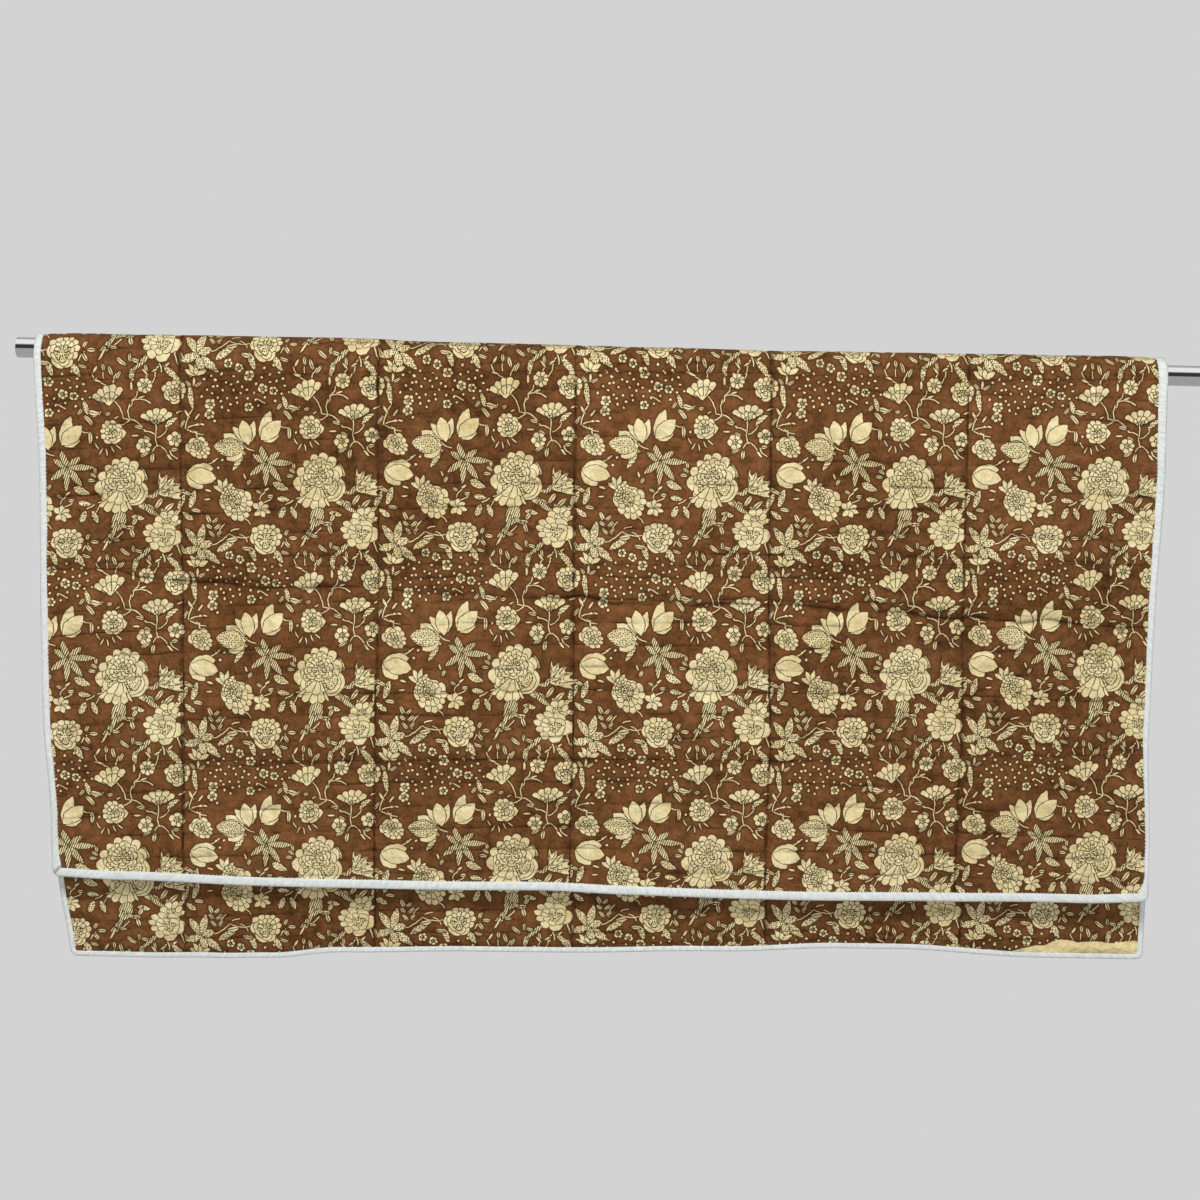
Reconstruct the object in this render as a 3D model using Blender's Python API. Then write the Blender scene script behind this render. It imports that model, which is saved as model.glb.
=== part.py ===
"""Block printed cotton quilt folded over a chromed steel rod.

The quilt is one filled solid: two cotton cloths with thin batting, sewn together in straight rows
across its width. A folded cotton strip binds all four edges. The rod runs along X with its left
end face at the origin, the short flap hangs towards -Y and the long flap towards +Y. Metres, +Z up.
"""

from math import cos, hypot, pi, radians, sin

import bmesh
import bpy
from mathutils import Vector

# Rod: a plain 25 mm bar that reaches past both sides of the quilt.
ROD_RADIUS = 0.0125
ROD_LENGTH = 1.490
ROD_SIDES = 48
ROD_LEFT_REACH = 0.0255

# Quilt: outside size across the binding, and how thick it is at a row and between rows.
QUILT_WIDTH = 1.387
ROW_SPACING = 0.0290
ROW_HALF = 0.0016
CROWN_HALF = 0.0031
STEPS_PER_ROW = 2
CROWN_START = 0.045
INNER_COLUMNS = 7

# Bend over the rod: half the depth and the height of the arch of the middle surface.
GAP = 0.0003
REST_GAP = 0.0005
ARCH_DEPTH = 0.0230
ARCH_HEIGHT = 0.0300
ARCH_LENGTH = 0.0420
ARCH_STEPS = 8
ARCH_TOP = ROD_RADIUS + REST_GAP + CROWN_HALF

# Flaps: below the arch they draw together, then hang almost straight.
FLAP_DEPTH = 0.0165
DRAW_IN_DROP = 0.260

# Binding: a folded strip, its visible width on each face, and the edge that it covers.
BINDING_WIDTH = 0.0120
BINDING_OUTSIDE = 0.0020
BINDING_HALF = 0.0031
BINDING_LIP_HALF = 0.0028
EDGE_HALF = 0.0015
CORNER = 0.0100
CORNER_TURNS = (0.0, 45.0, 90.0)
BODY_INSET = GAP + BINDING_OUTSIDE
BODY_WIDTH = QUILT_WIDTH - 2 * BODY_INSET

# Height that the stiff fold stands above its lowest rest on the rod: (across, lift).
FOLD_LIFT = (
    (0.000, 0.0000),
    (0.130, 0.0006),
    (0.250, 0.0014),
    (0.400, 0.0022),
    (0.470, 0.0002),
    (0.700, 0.0006),
    (0.930, 0.0000),
    (1.050, 0.0012),
    (1.200, 0.0028),
    (1.387, 0.0034),
)

# Outer hem line of each flap: (across, drop below the rod's axis).
FRONT_HEM = (
    (0.000, 0.6645),
    (0.080, 0.6675),
    (0.250, 0.6700),
    (0.480, 0.6705),
    (0.620, 0.6695),
    (0.720, 0.6720),
    (0.930, 0.6730),
    (1.120, 0.6700),
    (1.300, 0.6665),
    (1.387, 0.6610),
)
BACK_HEM = (
    (0.000, 0.7790),
    (0.100, 0.7790),
    (0.190, 0.7760),
    (0.260, 0.7735),
    (0.350, 0.7650),
    (0.520, 0.7610),
    (0.840, 0.7535),
    (1.000, 0.7460),
    (1.090, 0.7440),
    (1.250, 0.7510),
    (1.387, 0.7500),
)

# Sideways lean of each flap: (drop, shift towards +X).
FRONT_LEAN = (
    (0.000, 0.0000),
    (0.150, 0.0045),
    (0.300, 0.0030),
    (0.440, 0.0040),
    (0.600, 0.0130),
    (0.680, 0.0140),
)
BACK_LEAN = (
    (0.000, 0.0000),
    (0.300, 0.0060),
    (0.520, 0.0140),
    (0.690, 0.0240),
    (0.790, 0.0260),
)

# Soft waves of each flap: (waves across the width, start in turns, depth at the hem).
FRONT_WAVES = (
    (1.15, 0.10, 0.0030),
    (2.60, 0.55, 0.0022),
    (5.30, 0.20, 0.0009),
)
BACK_WAVES = (
    (0.90, 0.60, 0.0034),
    (3.10, 0.15, 0.0024),
    (6.20, 0.70, 0.0009),
)
WAVE_DROP = 0.700

# The front flap's right corner turns out of the flap.
CURL_REACH = 0.090
CURL_OUT = 0.0070

# The back flap's left edge bulges outwards at this drop, just under the front hem.
BULGE_OUT = 0.0130
BULGE_DROP = 0.655
BULGE_SPAN = 0.125
BULGE_REACH = 0.300

# Half the length over which the surface's slope is measured.
NORMAL_STEP = 0.0005

# Flat colours of the plain materials.
QUILT_BROWN = (0.155, 0.068, 0.026, 1.0)
BINDING_WHITE = (0.66, 0.69, 0.70, 1.0)
CHROME = (0.62, 0.63, 0.63, 1.0)


def smooth(x):
    """Eases from 0 to 1 as x goes from 0 to 1."""
    x = min(max(x, 0.0), 1.0)
    return x * x * (3.0 - 2.0 * x)


def table_at(table, place):
    """Reads a (place, value) table with a soft change from row to row."""
    for (low, first), (high, second) in zip(table, table[1:]):
        if place < high:
            return first + (second - first) * smooth((place - low) / (high - low))
    return table[-1][1]


def wave_depth(waves, across, drop):
    """Depth of the soft waves at a place of a flap, growing towards the hem."""
    grown = smooth(drop / WAVE_DROP)
    turns = ((count * across / QUILT_WIDTH + start) * 2 * pi for count, start, _ in waves)
    return grown * sum(row[2] * sin(turn) for row, turn in zip(waves, turns))


def flap_length(across, front):
    """Cloth from the fold's top to the outer hem line."""
    drop = table_at(FRONT_HEM if front else BACK_HEM, across)
    straight = drop - (ARCH_HEIGHT - ARCH_TOP) + table_at(FOLD_LIFT, across)
    return ARCH_LENGTH + straight


def edge_bulge(across, drop):
    """Outward push of the back flap near its left edge."""
    near = smooth(1.0 - across / BULGE_REACH)
    return BULGE_OUT * near * smooth(1.0 - abs(drop - BULGE_DROP) / BULGE_SPAN)


def surface_point(across, along):
    """Middle surface at a place across the quilt and at a length along it from the fold's top.

    The length is negative on the front flap.
    """
    front = along < 0
    side = -1.0 if front else 1.0
    length = abs(along)
    lift = table_at(FOLD_LIFT, across)
    top = ARCH_TOP + lift
    if length < ARCH_LENGTH:
        angle = pi / 2 * length / ARCH_LENGTH
        depth = ARCH_DEPTH * sin(angle)
        height = top - ARCH_HEIGHT * (1.0 - cos(angle))
    else:
        below = length - ARCH_LENGTH
        depth = ARCH_DEPTH - (ARCH_DEPTH - FLAP_DEPTH) * smooth(below / DRAW_IN_DROP)
        height = top - ARCH_HEIGHT - below
    drop = max(-height, 0.0)
    depth += wave_depth(FRONT_WAVES if front else BACK_WAVES, across, drop)
    if front:
        hem = table_at(FRONT_HEM, across)
        from_corner = hypot(QUILT_WIDTH - across, max(hem - drop, 0.0))
        depth += CURL_OUT * smooth(1.0 - from_corner / CURL_REACH)
        lean = table_at(FRONT_LEAN, drop)
    else:
        lean = table_at(BACK_LEAN, drop) - edge_bulge(across, drop)
    return Vector((ROD_LEFT_REACH + across + lean, side * depth, height))


def surface_normal(across, along):
    """Unit normal of the middle surface, away from the rod."""
    step = NORMAL_STEP
    over = surface_point(across + step, along) - surface_point(across - step, along)
    down = surface_point(across, along + step) - surface_point(across, along - step)
    return down.cross(over).normalized()


def offset_point(across, along, height):
    """A place off the middle surface, on the side away from the rod where height is positive."""
    return surface_point(across, along) + surface_normal(across, along) * height


def body_columns():
    """Places across the filled body: the bound edge, the crown's start, then even columns."""
    first = BODY_INSET + CORNER
    last = QUILT_WIDTH - first
    inner = (last - first - 2 * (CROWN_START - first)) / (INNER_COLUMNS - 1)
    columns = [BODY_INSET, first]
    columns += [CROWN_START + inner * i for i in range(INNER_COLUMNS)]
    columns += [last, QUILT_WIDTH - BODY_INSET]
    return columns


def straight_shares(front):
    """Shares of a flap's straight length, STEPS_PER_ROW for each sewn row, then the bound edge."""
    straight = flap_length(QUILT_WIDTH / 2, front) - ARCH_LENGTH
    count = round(straight / ROW_SPACING) * STEPS_PER_ROW
    bound = (BODY_INSET + CORNER) / straight
    last = 1.0 - bound - 0.5 / count
    return [i / count for i in range(1, count) if i / count < last] + [1.0 - bound]


def crown(across, along, front):
    """Half thickness: low at each sewn row, full between rows, thin at the bound edges."""
    straight = flap_length(QUILT_WIDTH / 2, front) - ARCH_LENGTH
    spacing = straight / round(straight / ROW_SPACING)
    phase = (abs(along) - ARCH_LENGTH) / spacing
    if abs(along) < ARCH_LENGTH:
        phase = 0.5 + 0.5 * abs(along) / ARCH_LENGTH
    filled = abs(sin(pi * phase))
    side = min(across, QUILT_WIDTH - across) - BODY_INSET - CORNER
    hem = flap_length(across, front) - abs(along) - BODY_INSET - CORNER
    near = smooth(min(side, hem) / (CROWN_START - BODY_INSET - CORNER))
    return EDGE_HALF + near * (ROW_HALF - EDGE_HALF + (CROWN_HALF - ROW_HALF) * filled)


def rounded(across, along, front):
    """Moves a place inside a corner square so that the body's corner is round."""
    side = CORNER + BODY_INSET - min(across, QUILT_WIDTH - across)
    hem = CORNER + BODY_INSET - flap_length(across, front) + abs(along)
    if side <= 0.0 or hem <= 0.0:
        return across, along
    pull = 1.0 - max(side, hem) / hypot(side, hem)
    inward = 1.0 if across < QUILT_WIDTH / 2 else -1.0
    upward = 1.0 if front else -1.0
    return across + inward * side * pull, along + upward * hem * pull


def body_lines():
    """Each line across the body, from front hem to back hem, as (front?, kind, value).

    An arch line's value is its length from the fold's top. A flap line's value is its share of
    the flap's straight length, so that the lines follow the uneven hem.
    """
    arch = [ARCH_LENGTH * i / ARCH_STEPS for i in range(ARCH_STEPS + 1)]
    lines = [(True, "hem", 1.0)]
    lines += [(True, "flap", share) for share in reversed(straight_shares(True))]
    lines += [(True, "arch", length) for length in reversed(arch)]
    lines += [(False, "arch", length) for length in arch[1:]]
    lines += [(False, "flap", share) for share in straight_shares(False)]
    lines += [(False, "hem", 1.0)]
    return lines


def line_along(line, across):
    """Length from the fold's top where a line crosses the given place across."""
    front, kind, value = line
    turn = -1.0 if front else 1.0
    if kind == "arch":
        return turn * value
    length = flap_length(across, front)
    if kind == "hem":
        return turn * (length - BODY_INSET)
    return turn * (ARCH_LENGTH + value * (length - ARCH_LENGTH))


def make_material(name, colour, roughness, metallic):
    material = bpy.data.materials.new(name)
    material.use_nodes = True
    shader = material.node_tree.nodes["Principled BSDF"]
    shader.inputs["Base Color"].default_value = colour
    shader.inputs["Roughness"].default_value = roughness
    shader.inputs["Metallic"].default_value = metallic
    return material


def finish(name, mesh_builder, material):
    """Turns a finished bmesh into an object with outward faces and its material."""
    bmesh.ops.recalc_face_normals(mesh_builder, faces=mesh_builder.faces)
    mesh = bpy.data.meshes.new(name)
    mesh_builder.to_mesh(mesh)
    mesh_builder.free()
    mesh.materials.append(material)
    mesh.shade_smooth()
    mesh.set_sharp_from_angle(angle=radians(40))
    thing = bpy.data.objects.new(name, mesh)
    bpy.context.scene.collection.objects.link(thing)
    return thing


def make_quilt():
    """The filled body: an outer and an inner skin joined round the edge."""
    work = bmesh.new()
    columns = body_columns()
    lines = body_lines()
    outer = []
    inner = []
    for line in lines:
        front = line[0]
        outer.append([])
        inner.append([])
        for column in columns:
            across, along = rounded(column, line_along(line, column), front)
            half = crown(column, line_along(line, column), front)
            outer[-1].append(work.verts.new(offset_point(across, along, half)))
            inner[-1].append(work.verts.new(offset_point(across, along, -half)))
    for skin in (outer, inner):
        for row, after in zip(skin, skin[1:]):
            for i in range(len(columns) - 1):
                work.faces.new((row[i], row[i + 1], after[i + 1], after[i]))
    rim_out = rim(outer)
    rim_in = rim(inner)
    for i, vertex in enumerate(rim_out):
        j = (i + 1) % len(rim_out)
        work.faces.new((vertex, rim_out[j], rim_in[j], rim_in[i]))
    bmesh.ops.triangulate(work, faces=work.faces)
    return finish("quilt", work, make_material("printed cotton", QUILT_BROWN, 0.85, 0.0))


def rim(skin):
    """The vertices round the edge of a skin, in order."""
    front = skin[0]
    right = [row[-1] for row in skin[1:-1]]
    back = skin[-1][::-1]
    left = [row[0] for row in skin[-2:0:-1]]
    return front + right + back + left


def binding_section():
    """Closed outline of the folded strip: (outward from the body's edge, height off the middle)."""
    cavity = EDGE_HALF + GAP
    lip = BODY_INSET - BINDING_WIDTH
    return (
        (lip, cavity),
        (GAP, cavity),
        (GAP, -cavity),
        (lip, -cavity),
        (lip, -BINDING_LIP_HALF),
        (0.5 * BINDING_OUTSIDE, -BINDING_HALF),
        (BODY_INSET, 0.0),
        (0.5 * BINDING_OUTSIDE, BINDING_HALF),
        (lip, BINDING_LIP_HALF),
    )


def edge_stations():
    """Places round the body's edge: (across, along, outward across, outward along)."""
    columns = body_columns()[2:-2]
    lines = body_lines()[2:-2]
    left = BODY_INSET
    right = QUILT_WIDTH - BODY_INSET
    stations = [(c, line_along((True, "hem", 1.0), c), 0.0, -1.0) for c in columns]
    stations += corner_stations(right - CORNER, True, -90.0)
    stations += [(right, line_along(line, right), 1.0, 0.0) for line in lines]
    stations += corner_stations(right - CORNER, False, 0.0)
    stations += [(c, line_along((False, "hem", 1.0), c), 0.0, 1.0) for c in reversed(columns)]
    stations += corner_stations(left + CORNER, False, 90.0)
    stations += [(left, line_along(line, left), -1.0, 0.0) for line in reversed(lines)]
    stations += corner_stations(left + CORNER, True, 180.0)
    return stations


def corner_stations(centre_across, front, start):
    """Stations round one corner of the body, from the turn given in degrees."""
    stations = []
    turn = -1.0 if front else 1.0
    for degrees in CORNER_TURNS:
        angle = radians(start + degrees)
        out = (cos(angle), sin(angle))
        across = centre_across + CORNER * out[0]
        hem = flap_length(across, front) - BODY_INSET
        along = turn * (hem - CORNER) + CORNER * out[1]
        stations.append((across, along, out[0], out[1]))
    return stations


def make_binding():
    """The folded strip, swept once round the body's edge."""
    work = bmesh.new()
    section = binding_section()
    rings = []
    for across, along, out_across, out_along in edge_stations():
        ring = []
        for out, height in section:
            place = offset_point(across + out * out_across, along + out * out_along, height)
            ring.append(work.verts.new(place))
        rings.append(ring)
    for i, ring in enumerate(rings):
        after = rings[(i + 1) % len(rings)]
        for k in range(len(section)):
            j = (k + 1) % len(section)
            work.faces.new((ring[k], ring[j], after[j], after[k]))
    bmesh.ops.triangulate(work, faces=work.faces)
    return finish("binding", work, make_material("white cotton", BINDING_WHITE, 0.9, 0.0))


def make_rod():
    """A plain bar along X from the origin, with flat ends."""
    work = bmesh.new()
    ends = []
    for x in (0.0, ROD_LENGTH):
        angles = (2 * pi * i / ROD_SIDES for i in range(ROD_SIDES))
        ends.append([work.verts.new((x, ROD_RADIUS * cos(a), ROD_RADIUS * sin(a))) for a in angles])
        work.faces.new(ends[-1])
    for i in range(ROD_SIDES):
        j = (i + 1) % ROD_SIDES
        work.faces.new((ends[0][i], ends[0][j], ends[1][j], ends[1][i]))
    return finish("rod", work, make_material("chromed steel", CHROME, 0.12, 1.0))


def main():
    for thing in list(bpy.data.objects):
        bpy.data.objects.remove(thing)
    make_rod()
    make_quilt()
    make_binding()


main()
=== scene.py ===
"""Block printed cotton quilt hung over a chromed rail.

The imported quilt, binding and rod are the fixed frame. The cloth made here follows the same drape,
with its sewn rows, puckers and creases, its hand block print, its binding, its running stitches
and a bright rail.
"""

from math import atan2, cos, degrees, hypot, pi, radians, sin

import bpy
import numpy as np
from mathutils import Matrix, Vector


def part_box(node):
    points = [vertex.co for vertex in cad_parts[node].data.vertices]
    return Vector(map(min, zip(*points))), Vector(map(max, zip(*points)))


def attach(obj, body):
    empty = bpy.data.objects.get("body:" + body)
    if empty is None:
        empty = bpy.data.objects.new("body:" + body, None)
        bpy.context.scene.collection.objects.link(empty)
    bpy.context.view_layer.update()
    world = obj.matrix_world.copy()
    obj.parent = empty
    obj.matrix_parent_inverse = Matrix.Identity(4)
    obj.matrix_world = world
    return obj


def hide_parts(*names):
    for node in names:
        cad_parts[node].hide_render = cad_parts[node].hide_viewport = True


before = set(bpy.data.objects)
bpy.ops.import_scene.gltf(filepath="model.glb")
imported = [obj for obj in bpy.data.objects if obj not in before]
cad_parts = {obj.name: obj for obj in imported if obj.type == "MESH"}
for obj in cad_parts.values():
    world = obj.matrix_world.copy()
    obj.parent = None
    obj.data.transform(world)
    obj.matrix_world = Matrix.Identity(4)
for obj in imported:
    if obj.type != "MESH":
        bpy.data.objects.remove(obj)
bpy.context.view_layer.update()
rod_low, rod_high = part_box("rod")

# ---- drape, as in the part's source
ROD_RADIUS = rod_high.z
ROD_LENGTH = rod_high.x - rod_low.x
# Bare rod left of the quilt.
ROD_LEFT_REACH = 0.0255
QUILT_WIDTH = 1.387
ROW_SPACING = 0.0290
# Half the quilt's thickness on a sewn row and between rows.
ROW_HALF = 0.0016
CROWN_HALF = 0.0031
# Between the quilt and its binding, and between the quilt and the rod.
GAP = 0.0003
REST_GAP = 0.0005
# The arch of the stiff fold over the rod.
ARCH_DEPTH = 0.0230
ARCH_HEIGHT = 0.0300
ARCH_LENGTH = 0.0420
ARCH_TOP = ROD_RADIUS + REST_GAP + CROWN_HALF
# Cloth in the arch that a flap's drop below the rod's axis doesn't count.
ARCH_OFFSET = ARCH_LENGTH + ARCH_TOP - ARCH_HEIGHT
FLAP_DEPTH = 0.0165
DRAW_IN_DROP = 0.260
BINDING_WIDTH = 0.0120
BINDING_OUTSIDE = 0.0020
EDGE_HALF = 0.0015
CORNER = 0.0100
CROWN_START = 0.045
BODY_INSET = GAP + BINDING_OUTSIDE

# Lift of the stiff fold above its lowest rest on the rod: (across, lift).
FOLD_LIFT = (
    (0.000, 0.0000), (0.130, 0.0006), (0.250, 0.0014), (0.400, 0.0022), (0.470, 0.0002),
    (0.700, 0.0006), (0.930, 0.0000), (1.050, 0.0012), (1.200, 0.0028), (1.387, 0.0034),
)
# Outer hem line of each flap: (across, drop below the rod's axis).
FRONT_HEM = (
    (0.000, 0.6645), (0.080, 0.6675), (0.250, 0.6700), (0.480, 0.6705), (0.620, 0.6695),
    (0.720, 0.6720), (0.930, 0.6730), (1.120, 0.6700), (1.300, 0.6665), (1.387, 0.6610),
)
BACK_HEM = (
    (0.000, 0.7790), (0.100, 0.7790), (0.190, 0.7760), (0.260, 0.7735), (0.350, 0.7650),
    (0.520, 0.7610), (0.840, 0.7535), (1.000, 0.7460), (1.090, 0.7440), (1.250, 0.7510),
    (1.387, 0.7500),
)
# Sideways lean of each flap: (drop, shift towards +X).
FRONT_LEAN = (
    (0.000, 0.0000), (0.150, 0.0045), (0.300, 0.0030), (0.440, 0.0040), (0.600, 0.0130),
    (0.680, 0.0140),
)
BACK_LEAN = (
    (0.000, 0.0000), (0.300, 0.0060), (0.520, 0.0140), (0.690, 0.0240), (0.790, 0.0260),
)
# Soft waves of each flap: (waves across the width, start in turns, depth at the hem).
FRONT_WAVES = (
    (1.15, 0.10, 0.0030), (2.60, 0.55, 0.0022), (5.30, 0.20, 0.0009),
)
BACK_WAVES = (
    (0.90, 0.60, 0.0034), (3.10, 0.15, 0.0024), (6.20, 0.70, 0.0009),
)
WAVE_DROP = 0.700
# The front flap's right corner curls out, and the back flap's left side bulges.
CURL_REACH = 0.090
CURL_OUT = 0.0070
BULGE_OUT = 0.0130
BULGE_DROP = 0.655
BULGE_SPAN = 0.125
BULGE_REACH = 0.300
NORMAL_STEP = 0.0005


def smooth(x):
    """Eases from 0 to 1 as x goes from 0 to 1."""
    x = np.clip(x, 0.0, 1.0)
    return x * x * (3.0 - 2.0 * x)


def table_at(table, place, ease=smooth):
    """Reads a (place, value) table with a soft change from row to row."""
    rows = np.array(table)
    place = np.asarray(place, float)
    i = np.clip(np.searchsorted(rows[:, 0], place, side="right") - 1, 0, len(rows) - 2)
    share = ease((place - rows[i, 0]) / (rows[i + 1, 0] - rows[i, 0]))
    return rows[i, 1] + (rows[i + 1, 1] - rows[i, 1]) * share


def line_at(table, place):
    """Reads a (place, value) table in straight lines, which carry on past its ends."""
    return table_at(table, place, ease=np.asarray)


def wave_depth(waves, across, drop):
    """Depth of a flap's soft waves, which grow from the fold down to the hem."""
    turns = across / QUILT_WIDTH
    total = sum(depth * np.sin((count * turns + start) * 2 * pi) for count, start, depth in waves)
    return smooth(drop / WAVE_DROP) * total


def flap_length(across, front):
    """Cloth from the fold's top to the outer hem line."""
    drop = np.where(front, table_at(FRONT_HEM, across), table_at(BACK_HEM, across))
    return ARCH_LENGTH + drop - (ARCH_HEIGHT - ARCH_TOP) + table_at(FOLD_LIFT, across)


def surface(across, along):
    """Middle surface: a place across the quilt, and a length from the fold's top, negative in front."""
    across, along = np.broadcast_arrays(np.asarray(across, float), np.asarray(along, float))
    front = along < 0
    length = np.abs(along)
    turn = pi / 2 * np.minimum(length / ARCH_LENGTH, 1.0)
    below = np.maximum(length - ARCH_LENGTH, 0.0)
    flap = ARCH_DEPTH - (ARCH_DEPTH - FLAP_DEPTH) * smooth(below / DRAW_IN_DROP)
    depth = np.where(length < ARCH_LENGTH, ARCH_DEPTH * np.sin(turn), flap)
    top = ARCH_TOP + table_at(FOLD_LIFT, across)
    height = top - ARCH_HEIGHT * (1.0 - np.cos(turn)) - below
    drop = np.maximum(-height, 0.0)
    depth = depth + np.where(
        front, wave_depth(FRONT_WAVES, across, drop), wave_depth(BACK_WAVES, across, drop)
    )
    from_hem = np.maximum(table_at(FRONT_HEM, across) - drop, 0.0)
    from_corner = np.hypot(QUILT_WIDTH - across, from_hem)
    curl = CURL_OUT * smooth(1.0 - from_corner / CURL_REACH)
    depth = depth + np.where(front, curl, 0.0)
    near = smooth(1.0 - across / BULGE_REACH)
    bulge = BULGE_OUT * near * smooth(1.0 - np.abs(drop - BULGE_DROP) / BULGE_SPAN)
    lean = np.where(front, table_at(FRONT_LEAN, drop), table_at(BACK_LEAN, drop) - bulge)
    side = np.where(front, -1.0, 1.0)
    return np.stack([ROD_LEFT_REACH + across + lean, side * depth, height], -1)


def surface_normal(across, along):
    """Unit normal of the middle surface, away from the rod."""
    step = NORMAL_STEP
    over = surface(across + step, along) - surface(across - step, along)
    back = surface(across, along + step) - surface(across, along - step)
    out = np.cross(over, back)
    return out / np.linalg.norm(out, axis=-1, keepdims=True)


def raised(across, along, rise):
    """Places on the middle surface, moved out along its normal."""
    return surface(across, along) + surface_normal(across, along) * np.asarray(rise)[..., None]


# A random field repeats after this many pitches.
LATTICE_SIDE = 97


def lattice(u, v, pitch_u, pitch_v, seed):
    """Smooth random field from -1 to 1, with a new value at every pitch."""
    side = LATTICE_SIDE
    values = np.random.default_rng(seed).uniform(-1.0, 1.0, (side, side))
    x = np.asarray(u, float) / pitch_u + side
    y = np.asarray(v, float) / pitch_v + side
    i, j = np.floor(x).astype(int), np.floor(y).astype(int)
    over, down = smooth(x - i), smooth(y - j)
    near, far = (
        values[k % side, j % side] * (1 - down) + values[k % side, (j + 1) % side] * down for k in (i, i + 1)
    )
    return near * (1 - over) + far * over


def uneven(fields, across, along, total=0.0):
    """Adds random fields to a total. Each is a strength, slant, pitch across, pitch along and seed."""
    for strength, slant, pitch_across, pitch_along, seed in fields:
        total = total + strength * lattice(across + slant * along, along, pitch_across, pitch_along, seed)
    return total


def hump(past, half):
    """1 on a line, fading to 0 beyond half its width."""
    return np.exp(-((past / half) ** 2))


# ---- sewn rows, puckers and creases
# The rows rise towards the right in a shallow bow: slope and curve of that bow.
ROW_SLOPE = -0.0756
ROW_CURVE = 0.0380
ROW_START = 0.0088
# The front flap's main crease, from a fold in storage: (across, drop). A fainter one lies below it.
MAIN_CREASE = (
    (0.000, 0.272), (0.320, 0.290), (0.650, 0.295), (0.760, 0.299), (0.900, 0.295), (1.150, 0.308),
    (1.387, 0.317),
)
CREASE_HALF = 0.0080
CREASE_DEPTH = 0.0036
LOWER_CREASE = 0.034
LOWER_DEPTH = 0.0020
# How a crease wanders, then the middle strength of each crease and how that changes along it.
CREASE_WANDER = ((0.0035, 0.0, 0.045, 1.0, 24), (0.0012, 0.0, 0.014, 1.0, 26))
CREASE_MIDDLE = 0.75
CREASE_STRENGTH = ((0.5, 0.0, 0.120, 1.0, 21),)
LOWER_MIDDLE = 0.4
LOWER_LIMITS = (0.0, 1.2)
LOWER_STRENGTH = ((0.9, 0.0, 0.160, 1.0, 25),)
# How unevenly each row is sewn, and how hard it pulls: random fields in metres.
ROW_WANDER = ((0.0022, 0.0, 0.110, 0.050, 11), (0.0012, 0.0, 0.035, 0.030, 12))
PULL_MIDDLE = 0.80
PULL_LIMITS = (0.10, 1.30)
ROW_PULL = ((0.45, 0.0, 0.060, 0.026, 13), (0.25, 0.0, 0.017, 0.022, 14))
PUCKERS = ((1.0, 0.25, 0.0110, 0.0260, 15), (0.7, -0.35, 0.0075, 0.0170, 16))
PUCKER_RISE = 0.00036
# Puckers are deep at the rows and shallow between them.
PUCKER_SPAN = 1.15
# Below 1, the filling is full over most of the space between two rows.
CROWN_SHAPE = 0.62
# Wide and small buckles of the whole cloth.
BUCKLES = ((0.0011, 0.0, 0.140, 0.060, 22), (0.0007, 0.3, 0.050, 0.024, 23))


def to_crease(across, along):
    """Metres below the main crease of the front flap."""
    drop = np.abs(along) - ARCH_OFFSET
    return drop - table_at(MAIN_CREASE, across) - uneven(CREASE_WANDER, across, 0.0)


def row_phase(across, along):
    """Counts sewn rows from the fold: a whole number lies on a row."""
    bow = ROW_SLOPE * across + ROW_CURVE * across**2
    return (np.abs(along) - bow + uneven(ROW_WANDER, across, along) - ROW_START) / ROW_SPACING


def to_edge(across, along):
    """Cloth between a place and the quilt's nearest edge."""
    hem = flap_length(across, along < 0) - np.abs(along)
    return np.minimum(np.minimum(across, QUILT_WIDTH - across), hem)


def edge_share(across, along):
    """0 along the bound edges, rising to 1 where the filling is full."""
    flat = BODY_INSET + CORNER
    return smooth((to_edge(across, along) - flat) / (CROWN_START - flat))


def half_thickness(across, along):
    """Half the quilt's thickness, with the pull of each sewn row and its puckers."""
    crown = np.abs(np.sin(pi * row_phase(across, along))) ** CROWN_SHAPE
    pull = np.clip(uneven(ROW_PULL, across, along, PULL_MIDDLE), *PULL_LIMITS)
    full = CROWN_HALF - (CROWN_HALF - ROW_HALF) * (1.0 - crown) * pull
    full = full + PUCKER_RISE * uneven(PUCKERS, across, along) * (PUCKER_SPAN - crown)
    return EDGE_HALF + edge_share(across, along) * (full - EDGE_HALF)


def bend(across, along):
    """How far soft creases push the whole cloth along its normal."""
    past = to_crease(across, along)
    strength = uneven(CREASE_STRENGTH, across, 0.0, CREASE_MIDDLE)
    main = CREASE_DEPTH * hump(past, CREASE_HALF) * strength
    patchy = np.clip(uneven(LOWER_STRENGTH, across, 0.0, LOWER_MIDDLE), *LOWER_LIMITS)
    lower = LOWER_DEPTH * hump(past - LOWER_CREASE, CREASE_HALF) * patchy
    trough = np.where(along < 0, -main - lower, 0.0)
    hanging = smooth((np.abs(along) - ARCH_LENGTH) / CROWN_START)
    return uneven(BUCKLES, across, along, trough) * edge_share(across, along) * hanging


# ---- layout of the printed blocks
# Width and height of one block in millimetres.
BLOCK_WIDE = 240.0
BLOCK_TALL = 236.5
BLOCK_DROP = BLOCK_TALL / 1000
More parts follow.
